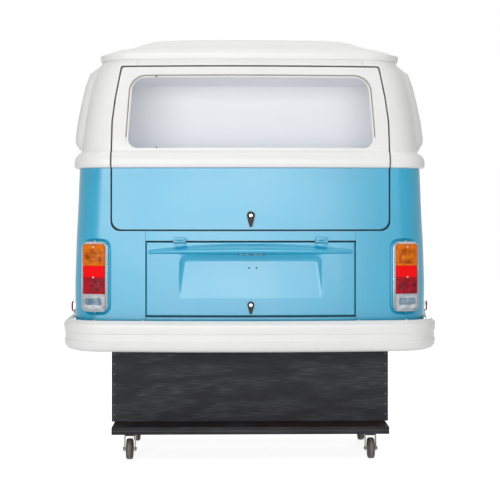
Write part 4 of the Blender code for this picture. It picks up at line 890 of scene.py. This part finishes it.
# Castors: pressed zinc plate and fork, ball race, and a grey rubber tyre on a nylon hub.
# The tyre and the hub are turned shapes. Hexagon bolts hold the plate, and one carries the wheel.
plate_zinc = mottled("yellow_zinc_plate", (0.40, 0.36, 0.25), 0.40, metallic=1.0)
fork_zinc = mottled("aged_zinc_fork", (0.30, 0.29, 0.25), 0.44, metallic=1.0)
dark_bolt = mottled("dark_bolt", (0.11, 0.10, 0.10), 0.42, metallic=1.0)
hub_nylon = mottled("hub_nylon", (0.12, 0.12, 0.125), 0.48)
SWIVEL_X = 0.588
SWIVEL_Y = {"tail": -0.137, "front": 0.264}
castor_rubber, rubber_tree, rubber_shader = new_material("castor_rubber")
rubber_place = object_place(rubber_tree)
rubber_side = maths(rubber_tree, "ABSOLUTE", axis_of(rubber_tree, rubber_place, "X"))
rubber_middle = maths(rubber_tree, "ABSOLUTE", maths(rubber_tree, "SUBTRACT", rubber_side, SWIVEL_X))
rubber_dust = maths(rubber_tree, "MULTIPLY", mapped(rubber_tree, rubber_middle, 0.011, 0.004),
                    noise(rubber_tree, rubber_place, 70))
rubber_tone = two_tone(rubber_tree, rubber_dust, (0.040, 0.038, 0.037), (0.24, 0.22, 0.205))
set_shader(rubber_tree, rubber_shader, rubber_tone, 0.70)
TYRE = ((-0.0150, 0.0290), (-0.0160, 0.0400), (-0.0152, 0.0455), (-0.0120, 0.0488), (-0.0060, 0.0500),
        (0.0060, 0.0500), (0.0120, 0.0488), (0.0152, 0.0455), (0.0160, 0.0400), (0.0150, 0.0290))
HUB = ((-0.0188, 0.0058), (-0.0188, 0.0190), (-0.0170, 0.0225), (-0.0125, 0.0258), (-0.0125, 0.0294),
       (0.0125, 0.0294), (0.0125, 0.0258), (0.0170, 0.0225), (0.0188, 0.0190), (0.0188, 0.0058))
CASTOR_TRAIL, WHEEL_RADIUS = 0.030, 0.050
FORK_OUTSIDE, PLATE_UNDERSIDE = 0.0271, 0.1238


def turned(profile, centre, steps):
    """A wheel turned from its section about an axle along X."""
    shape = bmesh.new()
    ring = [shape.verts.new((centre[0] + across, centre[1], centre[2] + radius)) for across, radius in profile]
    edges = [shape.edges.new((ring[index - 1], ring[index])) for index in range(len(ring))]
    bmesh.ops.spin(shape, geom=ring + edges, cent=centre, axis=(1, 0, 0), steps=steps, angle=math.tau, use_merge=True)
    return shape


for end, middle in SWIVEL_Y.items():
    for side, name in ((-1, "left"), (1, "right")):
        tag = f"{end}_{name}"
        x = side * SWIVEL_X
        axle = (x, middle - CASTOR_TRAIL, WHEEL_RADIUS)
        dress(f"castor_plate_{tag}", plate_zinc, 0.0008)
        dress(f"castor_fork_{tag}", fork_zinc, 0.0008)
        tyre = piece(f"castor_tyre_{tag}", turned(TYRE, axle, 32), castor_rubber, f"wheel_{tag}")
        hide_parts(f"castor_wheel_{tag}")
        piece(f"castor_hub_{tag}", turned(HUB, axle, 32), hub_nylon, f"wheel_{tag}")
        bolt = bmesh.new()
        for outward in (-1, 1):
            place = (x + outward * FORK_OUTSIDE, axle[1], axle[2])
            screw_head(bolt, 0.0088, 0.0058, turned_to(place, (outward, 0, 0)), 6)
        piece(f"castor_axle_nuts_{tag}", bolt, dark_bolt, f"fork_{tag}", 25)
        heads = bmesh.new()
        for across in (-0.028, 0.028):
            for along in (-0.038, 0.038):
                place = (x + across, middle + along, PLATE_UNDERSIDE)
                screw_head(heads, 0.0065, 0.0045, turned_to(place, (0, 0, -1)), 6)
        piece(f"castor_plate_bolts_{tag}", heads, dark_bolt, "shell", 25)
